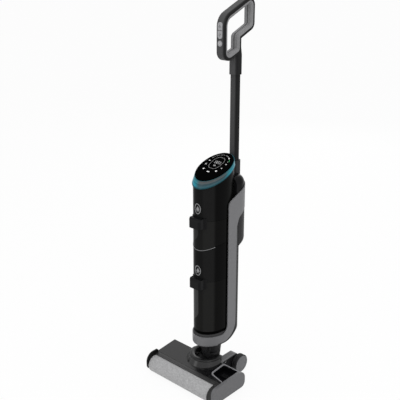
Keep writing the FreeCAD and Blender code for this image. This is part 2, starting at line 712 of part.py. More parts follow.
def rear_cover():
    gap = 0.3
    top = size.flag_bottom + 60
    cut = carcass(0, top).cut(carcass(-size.skin_wall, top + 1))
    rear, low = size.band_rear + gap, size.collar_bottom + size.under_rise - gap
    inner = size.under_radius + gap
    edge = flag_under(0.6, 120)
    places = [(-30 + gap, 90), (-30 + gap, low), (rear, low, inner)] + edge + [(120, 90)]
    cover = cut.common(prism("X", places, -60, 60))
    for row in range(7):
        middle = size.pod_bottom - 26 - row * 6
        slot = prism("Y", [(-24, middle - 1.2, 1.1), (24, middle - 1.2, 1.1), (24, middle + 1.2, 1.1),
                           (-24, middle + 1.2, 1.1)], size.column_depth - 8, size.column_depth + 8)
        cover = cover.cut(slot)
    solid("rear_cover", cover)


def pod_side(inset):
    """Side view of the battery pod, parallel to the flag's lower edge."""
    near, tip = size.band_rear + 0.8 + inset, size.flag_rear - inset
    low = size.pod_bottom + inset
    upper = list(reversed(flag_under(0.6 + inset, tip)))
    upper[-1] = (near, upper[-1][1])
    return prism("X", [(near, low), (tip, low + (tip - near) * 0.5, 9)] + upper, -60, 60)


def battery_pod():
    wall = size.skin_wall
    shell = flag_shape(-0.8).cut(carcass(0.3, 600)).common(pod_side(0))
    room = flag_shape(-0.8 - wall).cut(carcass(-wall, 600)).common(pod_side(wall))
    shell = shell.cut(room)
    for height in (0, 3.2, 6.4):
        middle = size.pod_bottom + 74 + height
        shell = shell.cut(box(-14, 14, size.flag_rear - 2, 200, middle, middle + 1.4))
    solid("battery_cover", shell)
    cells = []
    radius = size.cell_radius
    seat = size.column_depth + 0.3 + radius
    for across in (-3.15, -1.05, 1.05, 3.15):
        cells.append(rod("Z", radius, size.pod_bottom + 24, size.pod_bottom + 89, (across * radius, seat)))
    solid("battery_cells", Part.Compound(cells))


def dome():
    gap = 0.3
    wall = size.frame_wall + gap
    half, rear = size.frame_half - wall, size.flag_rear - wall
    corner, round_off = size.flag_radius - wall, size.dome_round
    base = size.dome_top - round_off

    def plan(height, inset):
        places = [(-half + inset, 30), (-half + inset, rear - inset, corner - inset),
                  (half - inset, rear - inset, corner - inset), (half - inset, 30)]
        wire = outline("Z", places)
        wire.translate(Vector(0, 0, height))
        return wire

    under = flag_under(-1.2, rear + 5)
    skirt = prism("X", [(30, size.upper_seam + 2), (size.band_rear + 12, size.upper_seam + 2),
                        (rear + 5, under[-1][1] + 4), (rear + 5, base), (30, base)], -60, 60)
    lower = skirt.common(Part.Face(plan(500, 0)).extrude(Vector(0, 0, base - 500)))
    steps = [math.radians(angle) for angle in (0, 30, 55, 75)]
    wires = [plan(base + round_off * math.sin(turn), round_off * (1 - math.cos(turn)))
             for turn in steps]
    crown = Part.makeLoft(wires, True, False)
    shape = fused(lower, crown)
    shape = shape.cut(oval(size.column_half + gap, size.column_depth + gap, 400, 700))
    shape = shape.cut(socket_block(0.1))
    solid("rear_dome", shape.common(box(-60, 60, size.band_rear, 200, 400, 700)))


def rounded_bar(wide, front, back, corner, low, high):
    half = wide / 2
    return prism("Z", [(-half, front, corner), (half, front, corner), (half, back, corner),
                       (-half, back, corner)], low, high)


def tube_front():
    return size.tube_behind - size.tube_deep / 2


def tube_back():
    return size.tube_behind + size.tube_deep / 2


def socket_block(clear):
    seat = size.tube_bottom - 1.5
    sleeve = rounded_bar(size.socket_wide + 2 * clear, tube_front() - 2 - clear,
                         tube_back() + 4.5 + clear, 8 + clear, seat, size.socket_top)
    stem = rounded_bar(size.tube_wide + 2 * clear, tube_front() - clear, tube_back() + clear,
                       7, seat - 40, seat + 1)
    return fused(sleeve, stem)


def socket():
    clear = size.run_gap
    bore = rounded_bar(size.tube_wide + 2 * clear, tube_front() - clear, tube_back() + clear,
                       7, size.tube_bottom - 0.1, 800)
    back = tube_back() + 4.5
    well = box(-7.3, 7.3, back - 2.6, back + 1, size.socket_top - 19.3, size.socket_top - 4.7)
    solid("tube_socket", socket_block(0).cut(bore).cut(well))
    key = box(-7, 7, back - 1, back + 1, size.socket_top - 19, size.socket_top - 5)
    tops = [edge for edge in key.Edges if edge.BoundBox.YMin > back]
    solid("tube_release_key", key.makeFillet(0.8, tops))


# ---------------------------------------------------------------- column

def column(low, high, inset=0.3, back=None):
    """A length of the oval column, flat at its back where it meets the spine."""
    shape = oval(size.column_half - inset, size.column_depth - inset, low, high)
    return shape.common(ahead_of(size.tank_back if back is None else back))


def seam_cylinder(clear):
    """The round surface that the seam between tank and middle housing follows."""
    half, rise = size.column_half, size.seam_rise
    radius = (half * half + rise * rise) / (2 * rise)
    return rod("Y", radius + clear, -90, 90, (0, size.middle_seam + radius))


def tank(name, low, high, floor_cut=None):
    wall, inset = size.tank_wall, 0.3 + size.tank_wall
    shape = column(low, high)
    hollow = column(low + wall, high + 1, inset, size.tank_back - wall)
    if floor_cut is not None:
        shape = shape.common(floor_cut)
        hollow = hollow.common(seam_cylinder(-wall - 0.3))
    solid(name, shape.cut(hollow))
    solid(name + "_lid", column(high - 8, high - 0.5, inset + 0.1, size.tank_back - wall - 0.1))


def tanks():
    tank("clean_tank", size.tank_bottom, size.lower_seam - 0.3)
    tank("dirty_tank", size.middle_seam, size.upper_seam - 0.3, seam_cylinder(-0.3))


def middle_housing():
    wall = 3
    low = size.lower_seam + 0.3
    shape = column(low, size.middle_seam + size.seam_rise + 4).cut(seam_cylinder(0.3))
    room = column(low + wall, size.middle_seam - wall - 1, 0.3 + wall, size.tank_back - wall)
    solid("middle_housing", shape.cut(room))
    solid("water_pump", fused(rod("Z", 15, low + wall, low + 42, (0, -22)),
                              rod("Z", 9, low + 42, low + 58, (0, -22)),
                              rod("Y", 4, -44, -34, (0, low + 20))))
    trim = column(size.middle_seam - 3, size.middle_seam + size.seam_rise + 4, -0.4)
    trim = trim.cut(column(0, 900, 0.25, 200)).cut(seam_cylinder(0.3))
    trim = trim.common(seam_cylinder(1.9)).common(ahead_of(-38))
    solid("seam_trim", trim)


def base_seat():
    """Seat of the lower tank: a foot in the collar, a lip, and a recessed neck above it."""
    room = carcass(-size.frame_wall - 0.3, 300)
    foot = room.common(box(-90, 90, -200, size.tank_back, 0, size.collar_top))
    lip = column(size.collar_top, size.lip_top, 0.9)
    neck = column(size.lip_top, size.tank_bottom - 0.4, 3.5)
    solid("base_seat", fused(foot, lip, neck))


def spine():
    half, front, wall = size.column_half - 0.5, size.tank_back + 0.4, 3
    low, top = size.collar_top + 1, size.upper_seam - 0.3
    channel = box(-half, half, front, size.band_rear, low, top)
    channel = channel.cut(box(wall - half, half - wall, front + wall, 100, low - 1, top - wall))
    solid("spine", channel.common(carcass(-size.frame_wall - 0.3, top)))
    inner = front + wall + 0.2
    solid("suction_pipe", rod("Z", 12, low, top - wall - 0.2, (-18, inner + 12)).cut(
        rod("Z", 10.5, low - 1, top, (-18, inner + 12))))
    padded("control_board", frame_of("4", "40", "0", "1.6"), "90",
           centre=("0", "tank_back + 3.7", "lower_seam + 60"))


def slanted(piece):
    """Sets a piece made level at the origin on the slanted top of the column."""
    tilt = Rotation(Vector(1, 0, 0), size.display_slope)
    height = size.display_front + size.column_depth * math.tan(math.radians(size.display_slope))
    piece.Placement = Placement(Vector(0, 0, height), tilt)
    return piece


def slant_depth(depth):
    return depth / math.cos(math.radians(size.display_slope))


def below_slant():
    slope = math.tan(math.radians(size.display_slope))
    front, rear = -120.0, 120.0
    level = size.display_front + size.column_depth * slope
    return prism("X", [(front, 400), (front, level + front * slope), (rear, level + rear * slope),
                       (rear, 400)], -90, 90)


def motor_housing():
    low, wall = size.upper_seam + 0.3, 3
    half, depth, top = size.column_half - 0.3, size.column_depth - 0.3, size.socket_top + 63
    shape = oval(half, depth, low, top).common(below_slant())
    room = oval(half - wall, depth - wall, low + wall, top)
    shape = shape.cut(room)
    near, far = size.band_front - 6, 120
    groove = [(near, 400), (near, flag_height(near) + 4, 22), (far, flag_height(far) + 4), (far, 400)]
    for side in (-1, 1):
        shape = shape.cut(prism("X", groove, *sorted((side * (size.column_half - 2), side * 90))))
    solid("motor_housing", shape)
    turned("suction_motor", [("0", "0"), ("38", "0"), ("38", "26"), ("30", "34"), ("30", "58"),
                             ("22", "64"), ("0", "64")], ("0", "0", "upper_seam + 3.6"))


def light_ring():
    lower = (size.column_half + 2.5, slant_depth(size.column_depth + 2), 0.4, 0.0)
    shift = size.ring_thick * math.tan(math.radians(size.display_slope)) + 3.5
    upper = (size.column_half + 0.5, slant_depth(size.column_depth - 5.5), size.ring_thick, shift)
    outer = Part.makeLoft([oval_wire(*lower), oval_wire(*upper)], True, True)
    inner = oval(size.column_half - 4, slant_depth(size.column_depth - 11), -1, 40, shift / 2)
    slanted(solid("light_ring", outer.cut(inner)))
    top = size.ring_thick + 0.1
    glass = oval(size.column_half - 0.5, slant_depth(size.column_depth - 7), top,
                 top + size.glass_thick, shift)
    rims = [edge for edge in glass.Edges if edge.BoundBox.ZMin > top + 1]
    slanted(solid("display_glass", glass.makeFillet(1.5, rims)))
    board = oval(size.column_half - 5, slant_depth(size.column_depth - 12), top - 4, top - 2.4, shift / 2)
    slanted(solid("display_board", board))


# ---------------------------------------------------------------- latches

def latch(word, seam):
    """A wrapped plate over the seam and the key that slides down it."""
    low, high = seam - size.latch_below, seam + size.latch_above
    wall, half = size.latch_wall, size.latch_half
    plate = oval(size.column_half + wall, size.column_depth + wall, low, high)
    plate = plate.cut(oval(size.column_half - 0.2, size.column_depth - 0.2, low - 1, high + 1))
    plate = plate.common(box(-half, half, -200, 0, low, high))
    solid(word + "_latch_plate", plate)
    front = -size.column_depth - size.knob_proud
    bottom = seam - size.latch_below + 1
    half = size.knob_half
    key = prism("Z", [(-half, front, 7), (half, front, 7), (half, -size.column_depth + 12),
                      (-half, -size.column_depth + 12)], bottom, bottom + size.knob_tall)
    key = key.cut(oval(size.column_half + wall + 0.3, size.column_depth + wall + 0.3, 0, 900))
    scoop = rod("X", 12, -60, 60, (front - 4, bottom + size.knob_tall + 5))
    key = key.cut(scoop)
    solid(word + "_latch_key", key)


# ---------------------------------------------------------------- tube and handle

def tube():
    wall = size.tube_wall
    outer = rounded_bar(size.tube_wide, tube_front(), tube_back(), 7, size.tube_bottom, size.tube_top)
    inner = rounded_bar(size.tube_wide - 2 * wall, tube_front() + wall, tube_back() - wall,
                        7 - wall, size.tube_bottom - 1, size.tube_top + 1)
    solid("handle_tube", outer.cut(inner))


def grip_loop(offset):
    """The grip's loop in side view, moved outwards by an offset."""
    front, rear, fork = size.grip_front - offset, size.grip_rear + offset, size.tube_behind + offset
    slope = math.radians(size.display_slope)
    lift = offset / math.cos(slope)
    turn = offset * math.tan(slope)
    corners = [
        (front, size.grip_low - lift - turn, 16 + offset),
        (front, size.grip_shoulder + lift - turn, 32 + offset),
        (rear, size.grip_top + lift + turn, 14 + offset),
        (rear, size.grip_step - lift + turn, 13 + offset),
        (fork, size.grip_fork - lift + turn, 4 - offset),
        (fork, size.grip_foot - lift + turn, 11 + offset),
    ]
    return [(along, up, max(radius, 2)) for along, up, radius in corners]


def grip():
    half, deep = size.grip_wide / 2, size.grip_half
    outer = prism("X", grip_loop(deep), -half, half)
    middle = prism("X", grip_loop(0), -60, 60)
    inner = prism("X", grip_loop(-deep), -60, 60)
    rims = [edge for edge in outer.Edges if edge.BoundBox.XLength < 1e-3]
    outer = outer.makeFillet(5, rims)
    sleeve = rounded_bar(size.grip_wide, tube_front() - 3, tube_back() + 3, 8,
                         size.sleeve_bottom, size.grip_foot - 12)
    throat = Part.makeLoft([bar_wire(tube_front() - 3, tube_back() + 3, size.grip_foot - 12),
                            bar_wire(size.tube_behind - deep, size.tube_behind + deep,
                                     size.grip_foot + 22)], True, True)
    bore = rounded_bar(size.tube_wide + 0.1, tube_front() - 0.05, tube_back() + 0.05, 7,
                       size.sleeve_bottom - 1, size.tube_top + 0.2)
    shell = fused(outer.cut(middle), sleeve.cut(middle), throat.cut(middle)).cut(bore)
    face = size.grip_front - deep
    wells = [rocker_block(size.key_bottom, size.key_top, 0.3, face - 1, face + 4.3),
             rod("Y", size.key_half, face - 1, face + 4.3, (0, size.power_height))]
    for well in wells:
        shell = shell.cut(well)
    solid("handle_shell", shell)
    liner = prism("X", grip_loop(-0.1), 0.3 - half, half - 0.3).cut(inner)
    rims = [edge for edge in liner.Edges if edge.BoundBox.XLength < 1e-3 and is_inner(edge)]
    liner = liner.makeChamfer(4, rims)
    solid("grip_liner", liner.cut(prism("X", grip_loop(1.2 - deep), -0.8, 0.8)))
    keys(face)


def is_inner(edge):
    """True for the edges of the loop's inside, which the fingers touch."""
    inner = Part.Face(outline("X", grip_loop(-size.grip_half)))
    spot = edge.valueAt((edge.FirstParameter + edge.LastParameter) / 2)
    return inner.OuterWire.distToShape(Part.Vertex(0, spot.y, spot.z))[0] < 0.5


def bar_wire(front, back, height):
    half = size.grip_wide / 2
    corner = 8
    wire = outline("Z", [(-half, front, corner), (half, front, corner), (half, back, corner),
                         (-half, back, corner)])
    wire.translate(Vector(0, 0, height))
    return wire


def rocker_block(low, high, clear, front, back):
    half = size.key_half + clear
    return prism("Y", [(-half, low - clear, half - 0.1), (half, low - clear, half - 0.1),
                       (half, high + clear, half - 0.1), (-half, high + clear, half - 0.1)],
                 front, back)


def keys(face):
    front, back = face - size.key_proud, face + 3
    middle = (size.key_bottom + size.key_top) / 2
    pill = rocker_block(size.key_bottom, size.key_top, 0, front, back)
    rims = [edge for edge in pill.Edges if edge.BoundBox.YMax < front + 0.1]
    pill = pill.makeFillet(1, rims)
    solid("upper_mode_key", pill.common(box(-30, 30, -200, 200, middle + 0.2, 1200)))
    solid("lower_mode_key", pill.common(box(-30, 30, -200, 200, 0, middle - 0.2)))
    button = rod("Y", size.key_half - 0.3, front, back, (0, size.power_height))
    rims = [edge for edge in button.Edges if edge.BoundBox.YMax < front + 0.1]
    solid("power_key", button.makeFillet(1, rims))


# ---------------------------------------------------------------- build and export

def build():
    side_walls()
    chassis()
    top_shell()
    turret_ring()
    turret_dish()
    roller_cover()
    end_cap()
    scraper()
    squeegee()
    spray_bar()
    pocket()
    roller()
    wheels()
    axles()
    arm_caps()
    neck()
    frame()
    rear_cover()
    battery_pod()
    dome()
    socket()
    base_seat()
    spine()
    tanks()
    middle_housing()
    motor_housing()
    light_ring()
    latch("clean", size.lower_seam)
    latch("dirty", size.upper_seam)
    tube()
    grip()


def export():
    doc.recompute()
    for item in doc.Objects:
        if "Invalid" in item.State or "Error" in item.State:
            raise RuntimeError(f"{item.Label} failed to build")
    pieces = [item for item in doc.Objects
              if item.TypeId in ("PartDesign::Body", "Part::Feature")]
    for piece in pieces:
        if piece.Shape.isNull() or not piece.Shape.isValid() or not piece.Shape.Solids:
            raise RuntimeError(f"{piece.Label} has no sound shape")
    os.makedirs("parts", exist_ok=True)
    for piece in pieces:
        piece.Shape.exportStep(f"parts/{piece.Label}.step")
        print(f"{piece.Label}: {len(piece.Shape.Solids)} solid, {piece.Shape.Volume / 1000:.1f} cm3")


build()
export()
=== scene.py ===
import math

import bmesh
import bpy
import numpy as np
from mathutils import Matrix, Vector


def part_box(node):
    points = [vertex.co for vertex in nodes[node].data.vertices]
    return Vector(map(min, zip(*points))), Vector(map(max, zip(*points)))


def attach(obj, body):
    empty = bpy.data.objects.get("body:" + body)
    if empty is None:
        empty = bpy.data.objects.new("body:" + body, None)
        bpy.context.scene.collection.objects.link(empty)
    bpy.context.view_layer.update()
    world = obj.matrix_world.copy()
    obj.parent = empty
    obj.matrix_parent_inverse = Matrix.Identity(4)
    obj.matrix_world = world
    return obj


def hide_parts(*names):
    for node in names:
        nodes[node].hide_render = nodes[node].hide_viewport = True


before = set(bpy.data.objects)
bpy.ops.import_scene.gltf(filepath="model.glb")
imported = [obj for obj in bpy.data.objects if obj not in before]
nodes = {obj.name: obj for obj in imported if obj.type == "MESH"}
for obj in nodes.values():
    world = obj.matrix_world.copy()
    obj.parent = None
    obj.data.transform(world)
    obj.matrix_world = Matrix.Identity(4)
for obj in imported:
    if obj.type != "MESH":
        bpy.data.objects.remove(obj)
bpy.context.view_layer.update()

# Looks for an upright wet and dry floor washer. Metres, +Z up, -Y is the roller side.

print("frame loaded:", len(nodes), "nodes")

# The display slopes down to the front by this angle, so its normal leans forwards.
displaySlope = math.radians(22.5)
displayNormal = (0, -math.sin(displaySlope), math.cos(displaySlope))


# Every new object goes into the scene's own collection.
def addObject(name, data):
    item = bpy.data.objects.new(name, data)
    bpy.context.scene.collection.objects.link(item)
    return item


def meshOf(name, points, faces):
    mesh = bpy.data.meshes.new(name)
    mesh.from_pydata(points, [], faces)
    return mesh


# Quads of a tube whose points go round each ring, and ring after ring along it.
def tubeFaces(along, around):
    ring, spot = np.meshgrid(np.arange(along - 1), np.arange(around), indexing="ij")
    first = ring * around + spot
    second = ring * around + (spot + 1) % around
    return np.stack((first, second, second + around, first + around), -1).reshape(-1, 4)


# Lowest and highest reach of a node along the display's normal.
def spanAlong(node):
    spots = np.array([vertex.co for vertex in nodes[node].data.vertices])
    reach = spots @ np.array(displayNormal)
    return float(reach.min()), float(reach.max())


# The turn that points a camera or a lamp from one spot at another.
def aim(spot, target):
    return (Vector(target) - Vector(spot)).to_track_quat("-Z", "Y")


# Adds and links shader nodes.
class Tree:
    def __init__(self, tree):
        self.tree = tree

    def add(self, kind, **settings):
        item = self.tree.nodes.new(kind)
        for name, value in settings.items():
            if name.startswith("in_"):
                item.inputs[name[3:]].default_value = value
            else:
                setattr(item, name, value)
        return item

    def link(self, source, target):
        self.tree.links.new(source, target)

    # Links a socket, or writes a number or a colour into the target.
    def feed(self, value, target):
        if isinstance(value, bpy.types.NodeSocket):
            self.link(value, target)
        else:
            target.default_value = value

    def math(self, operation, first, second=0.5):
        item = self.add("ShaderNodeMath", operation=operation)
        self.feed(first, item.inputs[0])
        self.feed(second, item.inputs[1])
        return item.outputs[0]

    # base + size * value
    def swing(self, value, base, size):
        return self.math("ADD", base, self.math("MULTIPLY", value, size))

    # A vector or a colour times one number.
    def scale(self, vector, share):
        item = self.add("ShaderNodeVectorMath", operation="SCALE")
        self.feed(vector, item.inputs[0])
        self.link(share, item.inputs["Scale"])
        return item.outputs[0]

    def dot(self, first, second):
        item = self.add("ShaderNodeVectorMath", operation="DOT_PRODUCT")
        self.feed(first, item.inputs[0])
        self.feed(second, item.inputs[1])
        return item.outputs["Value"]

    # From the first number, where the value is low, to the last, where it is high.
    def ramp(self, value, low, high, first=0.0, last=1.0, kind="SMOOTHSTEP"):
        item = self.add("ShaderNodeMapRange", interpolation_type=kind)
        ends = {"From Min": low, "From Max": high, "To Min": first, "To Max": last}
        for name, number in ends.items():
            item.inputs[name].default_value = number
        self.link(value, item.inputs["Value"])
        return item.outputs[0]

    # Colours at stops of (share, colour).
    def colourRamp(self, value, stops):
        item = self.add("ShaderNodeValToRGB")
        points = item.color_ramp.elements
        for index, (share, colour) in enumerate(stops):
            point = points[index] if index < 2 else points.new(share)
            point.position = share
            point.color = (*colour, 1)
        self.link(value, item.inputs[0])
        return item.outputs[0]

    def blend(self, share, first, second):
        item = self.add("ShaderNodeMix", data_type="RGBA")
        self.link(share, item.inputs[0])
        self.feed(first, item.inputs[6])
        self.feed(second, item.inputs[7])
        return item.outputs[2]

    def place(self):
        return self.add("ShaderNodeTexCoord").outputs["Object"]

    def splitPlace(self):
        item = self.add("ShaderNodeSeparateXYZ")
        self.link(self.place(), item.inputs[0])
        return item.outputs

    def noise(self, scale, detail, rough=0.5):
        item = self.add("ShaderNodeTexNoise", in_Detail=detail, in_Roughness=rough)
        self.feed(scale, item.inputs["Scale"])
        self.link(self.place(), item.inputs["Vector"])
        return item.outputs[0]


def makeCamera():
    view = {"spot": (1.2382, -1.4040, 1.2471), "target": (-0.0294, -0.0245, 0.5571),
            "lens": 63.65, "sensor": 36, "roll": -0.12, "reach": 120}
    lens = bpy.data.cameras.new("studioCamera")
    lens.lens = view["lens"]
    lens.sensor_width = view["sensor"]
    lens.clip_end = view["reach"]
    camera = addObject("studioCamera", lens)
    camera.location = view["spot"]
    roll = Matrix.Rotation(math.radians(view["roll"]), 3, "Z")
    camera.rotation_euler = (aim(view["spot"], view["target"]).to_matrix() @ roll).to_euler()
    bpy.context.scene.camera = camera


# 1 for the rays that show the background: camera, mirror and glass rays.
def showsBackground(tree):
    path = tree.add("ShaderNodeLightPath")
    seen = tree.math("MAXIMUM", path.outputs["Is Camera Ray"], path.outputs["Is Glossy Ray"])
    return tree.math("MAXIMUM", seen, path.outputs["Is Transmission Ray"])


# The plain shader lights the object; the white one, by its share, is the background.
def mixWhite(tree, plain, white, share, out):
    mixed = tree.add("ShaderNodeMixShader")
    tree.link(share, mixed.inputs[0])
    tree.link(plain.outputs[0], mixed.inputs[1])
    tree.link(white.outputs[0], mixed.inputs[2])
    tree.link(mixed.outputs[0], out.inputs[0])


def makeStage():
    stage = {"halfSize": 30.0, "fillLight": 0.8, "floorColour": (0.86, 0.86, 0.86, 1),
             "whiteShare": 0.92}
    world = bpy.data.worlds.new("studioWorld")
    bpy.context.scene.world = world
    world.use_nodes = True
    world.node_tree.nodes.clear()
    tree = Tree(world.node_tree)
    plain = tree.add("ShaderNodeBackground", in_Color=(1, 1, 1, 1), in_Strength=stage["fillLight"])
    white = tree.add("ShaderNodeBackground", in_Color=(1, 1, 1, 1), in_Strength=1.0)
    mixWhite(tree, plain, white, showsBackground(tree), tree.add("ShaderNodeOutputWorld"))
    half = stage["halfSize"]
    corners = [(-half, -half, 0), (half, -half, 0), (half, half, 0), (-half, half, 0)]
    floor = addObject("studioFloor", meshOf("studioFloor", corners, [(0, 1, 2, 3)]))
    paint = bpy.data.materials.new("studioFloor")
    paint.use_nodes = True
    paint.node_tree.nodes.clear()
    tree = Tree(paint.node_tree)
    matt = tree.add("ShaderNodeBsdfDiffuse", in_Color=stage["floorColour"])
    glow = tree.add("ShaderNodeEmission", in_Color=(1, 1, 1, 1), in_Strength=1.0)
    share = tree.math("MULTIPLY", showsBackground(tree), stage["whiteShare"])
    mixWhite(tree, matt, glow, share, tree.add("ShaderNodeOutputMaterial"))
    floor.data.materials.append(paint)


# Soft lamps, each aimed at a height on the object's middle line.
def makeLights():
    lamps = {
        "keyLight": {"spot": (2.2, -0.9, 2.3), "aimedAt": 0.5, "size": (1.2, 1.8), "watts": 15},
        "frontLight": {"spot": (-1.0, -2.6, 1.4), "aimedAt": 0.5, "size": (0.8, 2.2), "watts": 8},
        "topLight": {"spot": (0.1, -0.2, 2.6), "aimedAt": 0.2, "size": (1.6, 1.6), "watts": 10},
        "backLight": {"spot": (-1.4, 2.4, 1.5), "aimedAt": 0.5, "size": (1.0, 2.0), "watts": 9},
    }
    for name, lamp in lamps.items():
        light = bpy.data.lights.new(name, "AREA")
        light.shape = "RECTANGLE"
        light.size, light.size_y = lamp["size"]
        light.energy = lamp["watts"]
        holder = addObject(name, light)
        holder.location = lamp["spot"]
        holder.rotation_euler = aim(lamp["spot"], (0, 0, lamp["aimedAt"])).to_euler()


# A node group, its tree, and the sockets of its entry and its exit.
def newGroup(name, inputs, outputs):
    group = bpy.data.node_groups.new(name, "ShaderNodeTree")
    for side, sockets in (("INPUT", inputs), ("OUTPUT", outputs)):
        for socket, kind in sockets.items():
            group.interface.new_socket(name=socket, in_out=side, socket_type=kind)
    tree = Tree(group)
    return group, tree, tree.add("NodeGroupInput").outputs, tree.add("NodeGroupOutput").inputs


# Moulded surface: fine grain for the normal, slow mottling for colour and roughness.
def makeGrainGroup():
    surface = {"mottleScale": 22.0, "edgeRadius": 0.0007, "relief": 0.0004, "roughSwing": 0.8}
    colour, number, vector = "NodeSocketColor", "NodeSocketFloat", "NodeSocketVector"
    group, tree, given, out = newGroup(
        "mouldedSurface",
        {"Colour": colour, "Mottle": number, "Roughness": number, "Grain size": number,
         "Grain depth": number, "Edge wear and highlight": number},
        {"Colour": colour, "Roughness": number, "Normal": vector})
    slow = tree.noise(surface["mottleScale"], 4.0, 0.6)
    swing = tree.math("MULTIPLY", tree.math("SUBTRACT", slow, 0.5), given["Mottle"])
    fine = tree.noise(tree.math("DIVIDE", 1.0, given["Grain size"]), 2.0)
    bevel = tree.add("ShaderNodeBevel", samples=4, in_Radius=surface["edgeRadius"]).outputs[0]
    bump = tree.add("ShaderNodeBump", in_Distance=surface["relief"])
    tree.link(given["Grain depth"], bump.inputs["Strength"])
    tree.link(fine, bump.inputs["Height"])
    tree.link(bevel, bump.inputs["Normal"])
    # Edge lightening for wear, and a painted highlight where it is set strong: where the rounded
    # normal leaves the flat one, times the mottling.
    flat = tree.add("ShaderNodeNewGeometry").outputs["Normal"]
    edge = tree.math("MULTIPLY", tree.math("SUBTRACT", 1.0, tree.dot(bevel, flat)), slow)
    edge = tree.math("MULTIPLY", edge, given["Edge wear and highlight"])
    lift = tree.math("ADD", tree.math("ADD", 1.0, swing), edge)
    rough = tree.math("MULTIPLY", given["Roughness"], tree.swing(swing, 1.0, surface["roughSwing"]))
    tree.link(tree.scale(given["Colour"], lift), out["Colour"])
    tree.link(rough, out["Roughness"])
    tree.link(bump.outputs[0], out["Normal"])
    return group


# Painted reflections on the smoked plastic: paler bands on the shoulders beside the front, darker
# on the flanks.
def makeBandGroup():
    bands = {"paler": (0.013, 0.020), "darker": (0.037, 0.042), "front": 0.7, "flank": 0.35}
    sockets = {"Colour": "NodeSocketColor"}
    group, tree, given, out = newGroup("paintedReflectionBands", sockets, sockets)
    aside = tree.math("ABSOLUTE", tree.splitPlace()["X"])
    rise = tree.math("MULTIPLY", tree.ramp(aside, *bands["paler"]), 1 - bands["front"])
    fall = tree.math("MULTIPLY", tree.ramp(aside, *bands["darker"]), 1 - bands["flank"])
    share = tree.math("SUBTRACT", tree.math("ADD", rise, bands["front"]), fall)
    tree.link(tree.scale(given["Colour"], share), out["Colour"])
    return group


grainGroup = makeGrainGroup()
bandGroup = makeBandGroup()


# A Principled material, with its tree and its shader.
def newMaterial(name):
    material = bpy.data.materials.new(name)
    material.use_nodes = True
    material.node_tree.nodes.clear()
    tree = Tree(material.node_tree)
    shader = tree.add("ShaderNodeBsdfPrincipled")
    tree.link(shader.outputs[0], tree.add("ShaderNodeOutputMaterial").inputs[0])
    return material, tree, shader


# A moulded, cast or lacquered surface.
def moulded(name, colour, rough, ior=1.45, size=0.0006, depth=0.25, mottle=0.12, wearAndHighlight=0.6,
            metal=0.0):
    material, tree, shader = newMaterial(name)
    grain = tree.add("ShaderNodeGroup", node_tree=grainGroup, name="grain")
    values = {"Colour": (*colour, 1), "Mottle": mottle, "Roughness": rough, "Grain size": size,
              "Grain depth": depth, "Edge wear and highlight": wearAndHighlight}
    for socket, value in values.items():
        grain.inputs[socket].default_value = value
    tree.link(grain.outputs["Colour"], shader.inputs["Base Color"])
    tree.link(grain.outputs["Roughness"], shader.inputs["Roughness"])
    tree.link(grain.outputs["Normal"], shader.inputs["Normal"])
    shader.inputs["IOR"].default_value = ior
    shader.inputs["Metallic"].default_value = metal
    return material


# A moulded paint's tree, and the socket that holds its colour.
def paintOf(material):
    tree = Tree(material.node_tree)
    return tree, tree.tree.nodes["grain"].inputs["Colour"]


